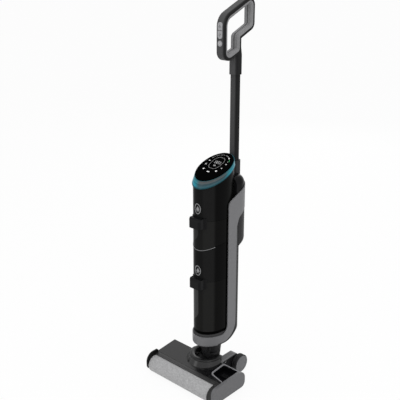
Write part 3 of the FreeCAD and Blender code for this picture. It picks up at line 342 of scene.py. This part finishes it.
def makePaints():
    paints = {
        "frameGrey": dict(colour=(0.142, 0.142, 0.148), rough=0.42, size=0.0005, depth=0.2),
        "lightGrey": dict(colour=(0.20, 0.20, 0.21), rough=0.45, size=0.0005),
        "hubGrey": dict(colour=(0.128, 0.128, 0.133), rough=0.5, size=0.0005),
        "capGrey": dict(colour=(0.108, 0.108, 0.112), rough=0.45, size=0.0005),
        "trimGrey": dict(colour=(0.18, 0.18, 0.185), rough=0.4, size=0.0005),
        "sideGrey": dict(colour=(0.103, 0.103, 0.108), rough=0.45, size=0.0005),
        "ringGrey": dict(colour=(0.008, 0.008, 0.0085), rough=0.34, ior=1.33, size=0.0005,
                         depth=0.03),
        "pocketBlack": dict(colour=(0.003, 0.003, 0.0035), rough=0.5, ior=1.08),
        "recessKey": dict(colour=(0.0055, 0.0055, 0.006), rough=0.5, ior=1.09),
        "headDark": dict(colour=(0.005, 0.005, 0.0055), rough=0.20, ior=1.47, depth=0.03, wearAndHighlight=0.3),
        "coverGrey": dict(colour=(0.026, 0.026, 0.0265), rough=0.28, ior=1.42, depth=0.05),
        "coverDark": dict(colour=(0.018, 0.018, 0.019), rough=0.45, ior=1.25),
        "glossBlack": dict(colour=(0.007, 0.007, 0.0075), rough=0.18, ior=1.11, depth=0.02,
                           mottle=0.3, wearAndHighlight=0.2),
        # Painted shade: near black with almost no gloss, for the spine in the slit behind the
        # tanks.
        "slitShadeBlack": dict(colour=(0.0015, 0.0015, 0.0015), rough=0.7, ior=1.02),
        "chassisBlack": dict(colour=(0.010, 0.010, 0.011), rough=0.5, ior=1.2),
        "cheekBlack": dict(colour=(0.006, 0.006, 0.006), rough=0.4, ior=1.2),
        "coverLip": dict(colour=(0.022, 0.022, 0.022), rough=0.35, ior=1.3),
        # Painted highlight: the latches' strong edge lightening stands for glints on their edges.
        "latchBlack": dict(colour=(0.006, 0.006, 0.0065), rough=0.25, ior=1.17, depth=0.05,
                           wearAndHighlight=1.6),
        "innerPlastic": dict(colour=(0.12, 0.12, 0.12), rough=0.5),
        "boardGreen": dict(colour=(0.02, 0.14, 0.07), rough=0.4),
        "steel": dict(colour=(0.6, 0.6, 0.6), rough=0.28, metal=1.0, size=0.0003, depth=0.1),
        "motorMetal": dict(colour=(0.35, 0.35, 0.36), rough=0.35, metal=1.0, size=0.0003,
                           depth=0.1),
        "rubberBlack": dict(colour=(0.018, 0.018, 0.018), rough=0.7, size=0.0009, depth=0.5),
        "tyreBlack": dict(colour=(0.014, 0.014, 0.015), rough=0.62, ior=1.3, size=0.0009,
                          depth=0.5),
        "tubeBlack": dict(colour=(0.056, 0.056, 0.057), rough=0.33, ior=1.12, size=0.0004,
                          depth=0.1),
        "handleBlack": dict(colour=(0.068, 0.068, 0.069), rough=0.38, ior=1.12, depth=0.2),
        "gripGrey": dict(colour=(0.196, 0.196, 0.200), rough=0.6, size=0.0008, depth=0.5),
        "keyGrey": dict(colour=(0.30, 0.30, 0.31), rough=0.45),
    }
    return {name: moulded(name, **finish) for name, finish in paints.items()}


# Smoke-tinted clear plastic: black, with painted reflection bands, and a paler patch on the left of
# the front.
def tankMaterial(node):
    plastic = {"tintUnderPaintedBands": (0.0155, 0.0155, 0.0150, 1), "ior": 1.08, "rough": 0.10, "roughSwing": 0.08,
               "hazeScale": 60.0, "lowestPaleShare": 0.6, "hazeSwing": 0.8}
    # The three "Fade" numbers say how sharply an edge of the paler patch fades, per metre.
    palerPatch = {"foot": {"clean_tank": 0.030, "dirty_tank": 0.019}, "right": 0.003, "rear": 0.034,
              "corner": 0.036, "paler": {"clean_tank": 0.045, "dirty_tank": 0.028},
              "footFade": 900.0, "rightFade": 500.0, "rearFade": 120.0}
    right, corner, paler = palerPatch["right"], palerPatch["corner"], palerPatch["paler"][node]
    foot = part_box(node)[0].z + palerPatch["foot"][node]
    material, tree, shader = newMaterial("smoked_" + node)
    spot = tree.splitPlace()
    # Rounded lower corner: z > foot + corner * (1 - sqrt(1 - (1 + (x - right) / corner)^2)).
    across = tree.math("DIVIDE", tree.math("SUBTRACT", spot["X"], right), corner)
    across = tree.math("MAXIMUM", tree.math("ADD", across, 1.0), 0.0)
    curve = tree.math("SUBTRACT", 1.0, tree.math("MULTIPLY", across, across))
    curve = tree.math("SUBTRACT", 1.0, tree.math("SQRT", tree.math("MAXIMUM", curve, 0.0)))
    lowest = tree.swing(curve, foot, corner)
    above = tree.math("MULTIPLY", tree.math("SUBTRACT", spot["Z"], lowest), palerPatch["footFade"])
    beside = tree.math("MULTIPLY", tree.math("SUBTRACT", right, spot["X"]), palerPatch["rightFade"])
    ahead = tree.math("SUBTRACT", -palerPatch["rear"], spot["Y"])
    ahead = tree.math("MULTIPLY", ahead, palerPatch["rearFade"])
    mask = tree.add("ShaderNodeClamp")
    tree.link(tree.math("MINIMUM", tree.math("MINIMUM", above, beside), ahead), mask.inputs[0])
    haze = tree.noise(plastic["hazeScale"], 3.0)
    share = tree.math("MULTIPLY", mask.outputs[0],
                      tree.swing(haze, plastic["lowestPaleShare"], plastic["hazeSwing"]))
    # Painted reflections: the tint gets paler and darker bands across the column.
    tintUnderPaintedBands = tree.add("ShaderNodeGroup", node_tree=bandGroup)
    tintUnderPaintedBands.inputs[0].default_value = plastic["tintUnderPaintedBands"]
    colour = tree.blend(share, tintUnderPaintedBands.outputs[0], (paler, paler, paler, 1))
    tree.link(colour, shader.inputs["Base Color"])
    tree.link(tree.swing(haze, plastic["rough"], plastic["roughSwing"]), shader.inputs["Roughness"])
    shader.inputs["IOR"].default_value = plastic["ior"]
    return material


# The black housings between the tanks: moulded solid, with the same painted reflection bands as the
# tanks.
def housingMaterial():
    material = moulded("housingBlack", (0.0115, 0.0115, 0.0115), 0.2, ior=1.08, depth=0.02,
                       mottle=0.25, wearAndHighlight=0.2)
    tree, paint = paintOf(material)
    # Painted reflections: the paint gets the same paler and darker bands as the tanks.
    tintUnderPaintedBands = tree.add("ShaderNodeGroup", node_tree=bandGroup)
    tintUnderPaintedBands.inputs[0].default_value = paint.default_value
    tree.link(tintUnderPaintedBands.outputs[0], paint)
    return material


# Multiplies a moulded paint's tone, by first where |x| is inner and by last where it is outer.
def toneAside(material, inner, outer, first, last):
    tree, paint = paintOf(material)
    aside = tree.math("ABSOLUTE", tree.splitPlace()["X"])
    share = tree.ramp(aside, inner, outer, first, last)
    tree.link(tree.scale(paint.default_value[:3], share), paint)
    return material


# The lower tank's seat: a dark grey lip below, and near black painted shade in the recess above it.
def seatMaterial():
    seat = {"lip": (0.050, 0.050, 0.051), "recess": (0.001, 0.001, 0.001, 1), "recessTall": 0.0101,
            "edge": 0.0002}
    material = moulded("seatWithPaintedShade", seat["lip"], 0.5, ior=1.06)
    tree, paint = paintOf(material)
    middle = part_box("base_seat")[1].z - seat["recessTall"]
    share = tree.ramp(tree.splitPlace()["Z"], middle - seat["edge"], middle + seat["edge"])
    # Painted shade: near black above the edge, in the recess under the tank.
    tree.link(tree.blend(share, paint.default_value, seat["recess"]), paint)
    return material


# Light guide: clear teal that glows a little, with a dark line between its two bands.
def ringMaterial():
    glow = {"straight": 0.16, "aslant": 0.42, "strength": 0.2, "ior": 1.2,
            "frostScale": 260.0, "rough": 0.12, "roughSwing": 0.16,
            "sides": ((0.0, (0.003, 0.03, 0.04)), (0.12, (0.008, 0.06, 0.08)),
                      (0.24, (0.012, 0.19, 0.26)), (0.5, (0.010, 0.18, 0.23)),
                      (0.58, (0.004, 0.07, 0.09)), (0.66, (0.016, 0.19, 0.235)),
                      (1.0, (0.012, 0.10, 0.125))),
            "front": ((0.0, (0.003, 0.03, 0.035)), (0.12, (0.008, 0.05, 0.065)),
                      (0.24, (0.030, 0.080, 0.100)), (0.5, (0.028, 0.055, 0.065)),
                      (0.58, (0.02, 0.045, 0.055)), (0.66, (0.065, 0.080, 0.085)),
                      (1.0, (0.055, 0.060, 0.062)))}
    material, tree, shader = newMaterial("ringTeal")
    low, high = spanAlong("light_ring")
    share = tree.ramp(tree.dot(tree.place(), displayNormal), low, high, kind="LINEAR")
    sides = tree.colourRamp(share, glow["sides"])
    front = tree.colourRamp(share, glow["front"])
    # Painted reflection: where the ring faces the viewer its colour greys towards the front stops,
    # and seen aslant it shows the full teal of the sides stops.
    facing = tree.add("ShaderNodeLayerWeight", in_Blend=0.5).outputs["Facing"]
    colour = tree.blend(tree.ramp(facing, glow["straight"], glow["aslant"]), front, sides)
    tree.link(colour, shader.inputs["Base Color"])
    tree.link(colour, shader.inputs["Emission Color"])
    shader.inputs["Emission Strength"].default_value = glow["strength"]
    rough = tree.swing(tree.noise(glow["frostScale"], 3.0), glow["rough"], glow["roughSwing"])
    tree.link(rough, shader.inputs["Roughness"])
    shader.inputs["IOR"].default_value = glow["ior"]
    return material


# Black glass with faint wiping marks in its gloss.
def glassMaterial():
    glass = {"colour": (0.0004, 0.0004, 0.0005, 1), "ior": 1.035, "wipeScale": 70.0, "rough": 0.04,
             "roughSwing": 0.08}
    material, tree, shader = newMaterial("displayGlass")
    shader.inputs["Base Color"].default_value = glass["colour"]
    rough = tree.swing(tree.noise(glass["wipeScale"], 4.0), glass["rough"], glass["roughSwing"])
    tree.link(rough, shader.inputs["Roughness"])
    shader.inputs["IOR"].default_value = glass["ior"]
    return material


def setMaterial(node, material):
    piece = nodes[node]
    if not piece.material_slots:
        piece.data.materials.append(material)
    for place in piece.material_slots:
        place.material = material


def dress(paints):
    looks = {
        "frameGrey": ("carry_frame",),
        "lightGrey": ("pocket_rim",),
        "hubGrey": ("left_hub", "right_hub"),
        "capGrey": ("arm_caps",),
        "trimGrey": ("seam_trim",),
        "sideGrey": ("right_side_plate",),
        "ringGrey": ("turret_ring",),
        "headDark": ("top_shell",),
        "coverGrey": ("roller_cover",),
        "coverLip": ("roller_end_cap",),
        "chassisBlack": ("head_chassis", "turret_dish"),
        "slitShadeBlack": ("spine",),
        "cheekBlack": ("left_cheek",),
        "recessKey": ("cover_release_key",),
        "pocketBlack": ("pocket_liner",),
        "coverDark": ("rear_cover", "battery_cover", "tube_socket", "neck_yoke", "neck_stub",
                      "swing_pin"),
        "latchBlack": ("dirty_latch_plate", "clean_latch_plate", "dirty_latch_key",
                       "clean_latch_key"),
        "glossBlack": ("rear_dome",),
        "innerPlastic": ("clean_tank_lid", "dirty_tank_lid", "suction_pipe", "water_spray_bar",
                         "scraper_bar", "roller_core"),
        "boardGreen": ("display_board", "control_board"),
        "steel": ("tilt_pin", "wheel_axles", "battery_cells"),
        "motorMetal": ("roller_motor", "suction_motor", "water_pump"),
        "rubberBlack": ("rear_squeegee",),
        "tyreBlack": ("left_tyre", "right_tyre"),
        "keyGrey": ("upper_mode_key", "lower_mode_key", "power_key", "tube_release_key"),
    }
    for look, names in looks.items():
        for node in names:
            setMaterial(node, paints[look])
    for node in ("clean_tank", "dirty_tank"):
        setMaterial(node, tankMaterial(node))
    # Painted shade: the grip rubber darkens along the groove of the parting line of its two halves,
    # down the middle.
    partingGrooveShade = {"inner": 0.0008, "outer": 0.0030, "first": 0.45, "last": 1.0}
    setMaterial("grip_liner", toneAside(paints["gripGrey"], **partingGrooveShade))
    # Painted reflection: the tube and the handle darken over the outer half of their width, where
    # their sides reflect darker surroundings.
    paintedFlankReflection = {"inner": 0.45, "outer": 0.95, "first": 1.0, "last": 0.22}
    for node, look in (("handle_tube", "tubeBlack"), ("handle_shell", "handleBlack")):
        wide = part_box(node)[1].x
        setMaterial(node, toneAside(paints[look], paintedFlankReflection["inner"] * wide, paintedFlankReflection["outer"] * wide,
                                    paintedFlankReflection["first"], paintedFlankReflection["last"]))
    housing = housingMaterial()
    for node in ("motor_housing", "middle_housing"):
        setMaterial(node, housing)
    setMaterial("base_seat", seatMaterial())
    setMaterial("light_ring", ringMaterial())
    setMaterial("display_glass", glassMaterial())


# Fleece: pale and dark specks that also raise the surface a little.
def pileMaterial():
    fleece = {"dark": (0.24, 0.24, 0.244), "pale": (0.45, 0.45, 0.455), "specks": 190.0,
              "depth": 0.8, "relief": 0.0006, "rough": 0.95, "sheen": 0.4}
    material, tree, shader = newMaterial("microfibre")
    speck = tree.noise(fleece["specks"], 5.0, 0.85)
    colour = tree.colourRamp(speck, ((0.33, fleece["dark"]), (0.66, fleece["pale"])))
    tree.link(colour, shader.inputs["Base Color"])
    bump = tree.add("ShaderNodeBump", in_Strength=fleece["depth"], in_Distance=fleece["relief"])
    tree.link(speck, bump.inputs["Height"])
    tree.link(bump.outputs[0], shader.inputs["Normal"])
    shader.inputs["Roughness"].default_value = fleece["rough"]
    shader.inputs["Sheen Weight"].default_value = fleece["sheen"]
    return material


# The microfibre sleeve: a tube round the roller's axis whose nap rises and falls, at
# radius - nap * (1 - height), and thins by a little more towards both ends.
def makePile():
    pile = {"around": 220, "along": 520, "seed": 7, "nap": 0.0005, "endLength": 0.002,
            "endDrop": 0.0012}
    low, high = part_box("roller_sleeve")
    radius = (high.z - low.z) / 2
    centre = ((low.y + high.y) / 2, (low.z + high.z) / 2)
    random = np.random.default_rng(pile["seed"])
    turn = np.linspace(0, 2 * math.pi, pile["around"], endpoint=False)
    share = np.linspace(0, 1, pile["along"])
    # Tufts: random height for each spot, softened once along and around.
    height = random.random((pile["along"], pile["around"]))
    height = (height + np.roll(height, 1, 0) + np.roll(height, 1, 1)) / 3
    end = np.minimum(share, 1 - share) * (high.x - low.x)
    taper = np.clip(end / pile["endLength"], 0, 1) ** 0.5
    reach = radius - pile["endDrop"] * (1 - taper[:, None]) - pile["nap"] * (1 - height)
    x = np.repeat(low.x + share[:, None] * (high.x - low.x), pile["around"], 1)
    y = centre[0] + reach * np.cos(turn)
    z = centre[1] + reach * np.sin(turn)
    points = np.stack((x, y, z), -1).reshape(-1, 3)
    mesh = meshOf("rollerPile", points.tolist(), tubeFaces(pile["along"], pile["around"]).tolist())
    mesh.polygons.foreach_set("use_smooth", [True] * len(mesh.polygons))
    mesh.materials.append(pileMaterial())
    piece = addObject("rollerPile", mesh)
    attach(piece, "roller")
    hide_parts("roller_sleeve")
    print("roller pile:", len(mesh.vertices), "points")


# Two foam strips on the spine that close the slit behind the tanks.
def makeSeals():
    seal = {"wide": 0.006, "thick": 0.0003, "inset": 0.004, "around": 20, "along": 60,
            "aboveFoot": 0.02, "belowTop": 0.001}
    low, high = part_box("spine")
    around, along = seal["around"], seal["along"]
    # Cross-section: the oval x = wide/2 cos t, y = thick/2 sin t, carried straight up.
    turn = np.linspace(0, 2 * math.pi, around, endpoint=False)
    rise = np.linspace(low.z + seal["aboveFoot"], high.z - seal["belowTop"], along)
    foot = list(range(around))[::-1]
    top = list(range((along - 1) * around, along * around))
    faces = tubeFaces(along, around).tolist() + [foot, top]
    for side, name in ((-1, "leftTankSeal"), (1, "rightTankSeal")):
        middle = (low.x + high.x) / 2 + side * ((high.x - low.x) / 2 - seal["inset"])
        x, z = np.meshgrid(middle + np.cos(turn) * seal["wide"] / 2, rise)
        y = np.broadcast_to(low.y - seal["thick"] / 2 * (1 - np.sin(turn)), x.shape)
        points = np.stack((x, y, z), -1).reshape(-1, 3)
        piece = addObject(name, meshOf(name, points.tolist(), faces))
        piece.data.materials.append(bpy.data.materials["rubberBlack"])
        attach(piece, "column")
    print("tank seals set")


# The printed marks are plain icons and numbers, drawn flat and laid on their surface.
# An oval: x = across cos t, y = up sin t, about its centre.
def ellipseLoop(centre, across, up, count=28):
    turn = np.linspace(0, 2 * math.pi, count, endpoint=False)
    return np.stack((centre[0] + across * np.cos(turn), centre[1] + up * np.sin(turn)), -1)


# An oval line; across and up are its outer half sizes.
def ringShape(centre, across, up, thick, count=40):
    sizes = ((across, up), (across - thick, up - thick))
    return [ellipseLoop(centre, *size, count) for size in sizes]


# A falling drop, point up: x = 0.32 tall sin t (1 - cos t), y = 0.5 tall cos t.
def dropLoop(centre, tall, count=26):
    turn = np.linspace(0, 2 * math.pi, count, endpoint=False)
    x = 0.32 * np.sin(turn) * (1 - np.cos(turn))
    return np.stack((centre[0] + tall * x, centre[1] + tall * 0.5 * np.cos(turn)), -1)


# A straight line with round ends.
def stroke(start, end, thick):
    start, end = np.array(start, float), np.array(end, float)
    along = end - start
    angle = math.atan2(along[1], along[0])
    half = np.linspace(-math.pi / 2, math.pi / 2, 6)
    tip = np.stack((np.cos(half + angle), np.sin(half + angle)), -1) * thick / 2
    return [np.concatenate((end + tip, start - tip))]


# Part of an oval line, from first to last in degrees.
def arcShape(centre, across, up, first, last, thick, count=24):
    turn = np.radians(np.linspace(first, last, count))
    ring = np.stack((np.cos(turn), np.sin(turn)), -1)
    outer = centre + ring * (across + thick / 2, up + thick / 2)
    inner = centre + ring * (across - thick / 2, up - thick / 2)
    return [np.concatenate((outer, inner[::-1]))]


# The corners of an upright box.
def boxLoop(left, right, low, high):
    return np.array(((left, low), (right, low), (right, high), (left, high)))


# A closed line along |x/a|^power + |y/b|^power = 1.
def squircle(centre, across, up, power, thick, count=64):
    turn = np.linspace(0, 2 * math.pi, count, endpoint=False)
    unit = np.stack((np.cos(turn), np.sin(turn)), -1)
    unit = np.sign(unit) * np.abs(unit) ** (2 / power)
    return [centre + unit * (across, up), centre + unit * (across - thick, up - thick)]


# Seven-segment digits; each digit lists its lit segments.
def digitShapes(number, left, low, wide, tall, thick):
    lit = {"0": "abcdef", "1": "bc", "2": "abged", "3": "abgcd", "4": "fgbc", "5": "afgcd",
           "6": "afgecd", "7": "abc", "8": "abcdefg", "9": "abcdfg"}
    shapes = []
    for place, digit in enumerate(number):
        west, middle = left + place * (wide + 2.2 * thick), low + tall / 2
        east, gap = west + wide, thick * 0.75
        ends = {"a": ((west + gap, low + tall), (east - gap, low + tall)),
                "g": ((west + gap, middle), (east - gap, middle)),
                "d": ((west + gap, low), (east - gap, low)),
                "f": ((west, middle + gap), (west, low + tall - gap)),
                "b": ((east, middle + gap), (east, low + tall - gap)),
                "e": ((west, low + gap), (west, middle - gap)),
                "c": ((east, low + gap), (east, middle - gap))}
        shapes += [stroke(*ends[segment], thick) for segment in lit[digit]]
    return shapes


# Shapes drawn about the origin in icon units, set at a spot in metres.
def scaled(shapes, size, spot):
    return [[np.asarray(loop) * size + np.array(spot) for loop in shape] for shape in shapes]


# Small plain pictures, each about 2 units across.
def iconShapes():
    def outwards(degrees, reach):
        turn = math.radians(degrees)
        return reach * math.cos(turn), reach * math.sin(turn)

    rays = [stroke(outwards(turn, 0.62), outwards(turn, 1.0), 0.28) for turn in range(0, 360, 60)]
    blades = [arcShape(outwards(turn, 0.45), 0.42, 0.42, turn - 60, turn + 110, 0.34)
              for turn in (90, 210, 330)]
    pail = np.array(((-1.0, 0.75), (-0.7, -0.85), (0.7, -0.85), (1.0, 0.75)))
    arrow = np.array(((0.35, 0.10), (1.25, 0.10), (0.8, 0.82)))
    flash = np.array(((0.45, 1.15), (-1.0, -0.25), (-0.15, -0.2), (-0.45, -1.15), (1.0, 0.3),
                      (0.15, 0.25)))
    return {
        "roller": [[squircle((0, 0), 1.7, 0.62, 5, 0.1)[0]]
                   + [ellipseLoop((x, 0), 0.16, 0.36, 14) for x in (-0.75, 0, 0.75)]],
        "bucket": [[pail, dropLoop((0, 0), 0.9)], stroke((-1.1, 0.95), (1.1, 0.95), 0.26)],
        "drop": [[dropLoop((0, 0), 2.2)]],
        "sun": rays + [[ellipseLoop((0, 0), 0.48, 0.48, 18)]],
        "fan": blades + [[ellipseLoop((0, 0), 0.22, 0.22, 12)]],
        "waves": [arcShape((0, -0.7), reach, reach, 45, 135, 0.3) for reach in (0.5, 1.0, 1.5)]
                 + [[ellipseLoop((0, -0.62), 0.2, 0.2, 12)]],
        "turn": [arcShape((0, 0), 0.75, 0.75, 20, 320, 0.34), [arrow]],
        "power": [arcShape((0, 0), 0.8, 0.8, 125, 415, 0.26), stroke((0, 0.25), (0, 1.0), 0.26)],
        "bolt": [[flash]],
    }


# Fills shapes of flat loops in metres, cuts them in strips and lays them with lay(u, v).
def ink(name, shapes, lay, body, material, strip=0.0015):
    mesh = bmesh.new()
    for shape in shapes:
        curve = bpy.data.curves.new(name, "CURVE")
        curve.dimensions = "2D"
        curve.fill_mode = "BOTH"
        for loop in shape:
            line = curve.splines.new("POLY")
            line.points.add(len(loop) - 1)
            spots = np.column_stack((loop, np.zeros(len(loop)), np.ones(len(loop))))
            line.points.foreach_set("co", spots.ravel())
            line.use_cyclic_u = True
        holder = bpy.data.objects.new(name, curve)
        flat = bpy.data.meshes.new_from_object(holder)
        mesh.from_mesh(flat)
        bpy.data.objects.remove(holder)
        bpy.data.curves.remove(curve)
        bpy.data.meshes.remove(flat)
    reach = [vertex.co.x for vertex in mesh.verts]
    for cut in np.arange(min(reach) + strip, max(reach), strip):
        parts = mesh.verts[:] + mesh.edges[:] + mesh.faces[:]
        bmesh.ops.bisect_plane(mesh, geom=parts, plane_co=(cut, 0, 0), plane_no=(1, 0, 0))
    bmesh.ops.reverse_faces(mesh, faces=[face for face in mesh.faces if face.normal.z < 0])
    piece = addObject(name, bpy.data.meshes.new(name))
    mesh.to_mesh(piece.data)
    mesh.free()
    flat = np.empty(len(piece.data.vertices) * 3)
    piece.data.vertices.foreach_get("co", flat)
    piece.data.vertices.foreach_set("co", np.stack(lay(flat[0::3], flat[1::3]), -1).ravel())
    piece.data.update()
    piece.data.materials.append(material)
    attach(piece, body)


# Printed or lit marks, with a little unevenness in the ink.
def inkMaterial(name, colour, glow=0.0, rough=0.5):
    material, tree, shader = newMaterial(name)
    thin = tuple(0.86 * part for part in colour)
    shade = tree.colourRamp(tree.noise(900.0, 2.0), ((0.0, thin), (1.0, colour)))
    tree.link(shade, shader.inputs["Base Color"])
    tree.link(shade, shader.inputs["Emission Color"])
    shader.inputs["Emission Strength"].default_value = glow
    shader.inputs["Roughness"].default_value = rough
    return material


# The display's numbers: two digits, a percent sign and a small battery.
def numberShapes():
    numbers = {"digits": {"number": "88", "left": -0.0110, "low": 0.0212, "wide": 0.0058,
                          "tall": 0.0105, "thick": 0.0010},
               "slash": ((0.0062, 0.0218), (0.0094, 0.0306), 0.0010),
               "rings": ((0.0064, 0.0300), (0.0093, 0.0224)), "radius": 0.0013, "ringThick": 0.0006,
               "bars": (-0.0042, -0.0026, -0.0010), "barLow": 0.0102, "barHigh": 0.0132,
               "barThick": 0.0009,
               # Boxes of the battery: left, right, low and high.
               "outer": (-0.0056, 0.0012, 0.0088, 0.0146),
               "inner": (-0.0051, 0.0007, 0.0093, 0.0141),
               "tip": (0.0013, 0.0019, 0.0104, 0.0130)}
    radius, thick = numbers["radius"], numbers["ringThick"]
    shapes = digitShapes(**numbers["digits"]) + [stroke(*numbers["slash"])]
    shapes += [ringShape(spot, radius, radius, thick, 14) for spot in numbers["rings"]]
    shapes += [stroke((x, numbers["barLow"]), (x, numbers["barHigh"]), numbers["barThick"])
               for x in numbers["bars"]]
    shapes.append([boxLoop(*numbers["outer"]), boxLoop(*numbers["inner"])])
    shapes.append([boxLoop(*numbers["tip"])])
    return shapes


# Arcs of one oval: the quiet ticks and line, the lit tick, and the charge just outside it.
def gaugeShapes():
    # An arc's first and last angle in degrees, its thickness and its number of points.
    gauge = {"centre": (-0.002, 0.020), "across": 0.034, "up": 0.0415, "chargeOut": 0.001,
             "ticks": ((154, 145), (142, 138), (134, 124), (120, 116), (112, 101), (97, 91)),
             "tickThick": 0.0013, "tickCount": 10, "line": (86, 60, 0.0011, 20),
             "lit": (56, 46, 0.0022, 10), "charge": (40, 26, 0.0012, 12)}

    def arc(first, last, thick, count, out=0.0):
        across, up = gauge["across"] + out, gauge["up"] + out
        return arcShape(gauge["centre"], across, up, first, last, thick, count)

    quiet = [arc(*tick, gauge["tickThick"], gauge["tickCount"]) for tick in gauge["ticks"]]
    quiet.append(arc(*gauge["line"]))
    return quiet, arc(*gauge["lit"]), arc(*gauge["charge"], out=gauge["chargeOut"])


# Lit marks on the slanted glass: a frame with numbers, icons round it and the gauge's arcs.
def makeDisplay():
    layout = {"lift": 0.0001, "cutDepth": 0.0148,
              "frame": {"centre": (-0.003, 0.0235), "across": 0.0185, "up": 0.026, "power": 2.7,
                        "thick": 0.0008},
              "icons": (("roller", -0.0016, -0.0176, 0.0026), ("bucket", 0.0200, -0.0084, 0.0027),
                        ("bolt", 0.0275, 0.0075, 0.0025), ("turn", 0.0280, 0.0270, 0.0024),
                        ("waves", 0.0264, 0.0370, 0.0013), ("drop", -0.0242, -0.0095, 0.0027),
                        ("fan", -0.0318, 0.0094, 0.0027), ("sun", -0.0322, 0.0267, 0.0026))}
    along = Vector((0, math.cos(displaySlope), math.sin(displaySlope)))
    normal = Vector(displayNormal)
    # The column's axis meets the glass where (0, 0, z) . normal is the glass's reach.
    origin = Vector((0, 0, spanAlong("display_glass")[1] / normal.z)) + normal * layout["lift"]
    # The glass plane's own origin lies square above the point where the axis meets the cut.
    shift = layout["cutDepth"] * math.tan(displaySlope)

    def lay(u, v):
        # u runs across, and v up the slope of the glass.
        return u + origin.x, origin.y + along.y * (v - shift), origin.z + along.z * (v - shift)

    icons = iconShapes()
    white = []
    for name, u, v, size in layout["icons"]:
        white += scaled(icons[name], size, (u, v))
    quiet, lit, charge = gaugeShapes()
    bright = inkMaterial("litWhite", (0.85, 0.85, 0.85), 0.3)
    middling = inkMaterial("litNumbers", (0.42, 0.42, 0.42), 0.1)
    soft = inkMaterial("litGrey", (0.34, 0.34, 0.34), 0.05)
    green = inkMaterial("litGreen", (0.03, 0.35, 0.10), 0.15)
    ink("displayIcons", white + [lit], lay, "column", bright)
    ink("displayNumbers", numberShapes(), lay, "column", middling)
    ink("displayFrame", [squircle(**layout["frame"])] + quiet, lay, "column", soft)
    ink("displayCharge", [charge], lay, "column", green)
    print("display marks set")


# An oval ring with a drop in it above each latch, wrapped on the oval column.
def makeTankMarks():
    marks = {"across": 0.011, "up": 0.0155, "thick": 0.0022, "lift": 0.0001,
             "drop": ((0.0012, 0.0018), 0.0135),
             "line": ((-0.0052, -0.0066), (0.0048, -0.0066), 0.0012),
             "height": {"motor_housing": 0.0347, "middle_housing": 0.0327}}
    pale = inkMaterial("printPale", (0.24, 0.24, 0.245), rough=0.4)
    shapes = [ringShape((0, 0), marks["across"], marks["up"], marks["thick"]),
              [dropLoop(*marks["drop"])], stroke(*marks["line"])]
    for node, name in (("motor_housing", "upperTankMark"), ("middle_housing", "lowerTankMark")):
        low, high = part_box(node)
        half, depth = (high.x - low.x) / 2, -low.y
        middle = low.z + marks["height"][node]

        def lay(u, v):
            # On the oval (x/half)^2 + (y/depth)^2 = 1, with u measured across.
            share = np.sqrt(np.maximum(1 - (u / half) ** 2, 0))
            return u, -depth * share - marks["lift"], middle + v

        ink(name, shapes, lay, "column", pale, strip=0.0008)
    print("tank marks set")


# Plain symbols on the grip's three keys, and the line between the two upper ones.
def makeKeyMarks():
    marks = {"size": 0.0036, "lift": 0.0001, "lineHalf": 0.0078, "lineTall": 0.0011}
    dark = inkMaterial("printDark", (0.05, 0.05, 0.05))
    line = inkMaterial("printLine", (0.02, 0.02, 0.02))
    pale = inkMaterial("printLight", (0.62, 0.62, 0.62))
    icons = iconShapes()
    for node, body, icon, colour in (("upper_mode_key", "upper_key", "fan", dark),
                                     ("lower_mode_key", "lower_key", "turn", dark),
                                     ("power_key", "power", "power", pale)):
        low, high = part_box(node)
        face, middle = low.y - marks["lift"], (low.z + high.z) / 2

        def lay(u, v):
            return u, np.full_like(u, face), middle + v

        symbol = scaled(icons[icon], marks["size"], (0, 0))
        ink(node + "Mark", symbol, lay, body, colour)
        if node == "upper_mode_key":
            half, split = marks["lineHalf"], low.z - middle
            divider = boxLoop(-half, half, split, split + marks["lineTall"])
            ink("keyDivider", [[divider]], lay, body, line)
    print("key marks set")


bpy.context.scene.view_settings.view_transform = "Standard"
makeCamera()
makeStage()
makeLights()
print("camera, floor and lights set")
dress(makePaints())
print("materials set")
makePile()
makeSeals()
makeDisplay()
makeTankMarks()
makeKeyMarks()
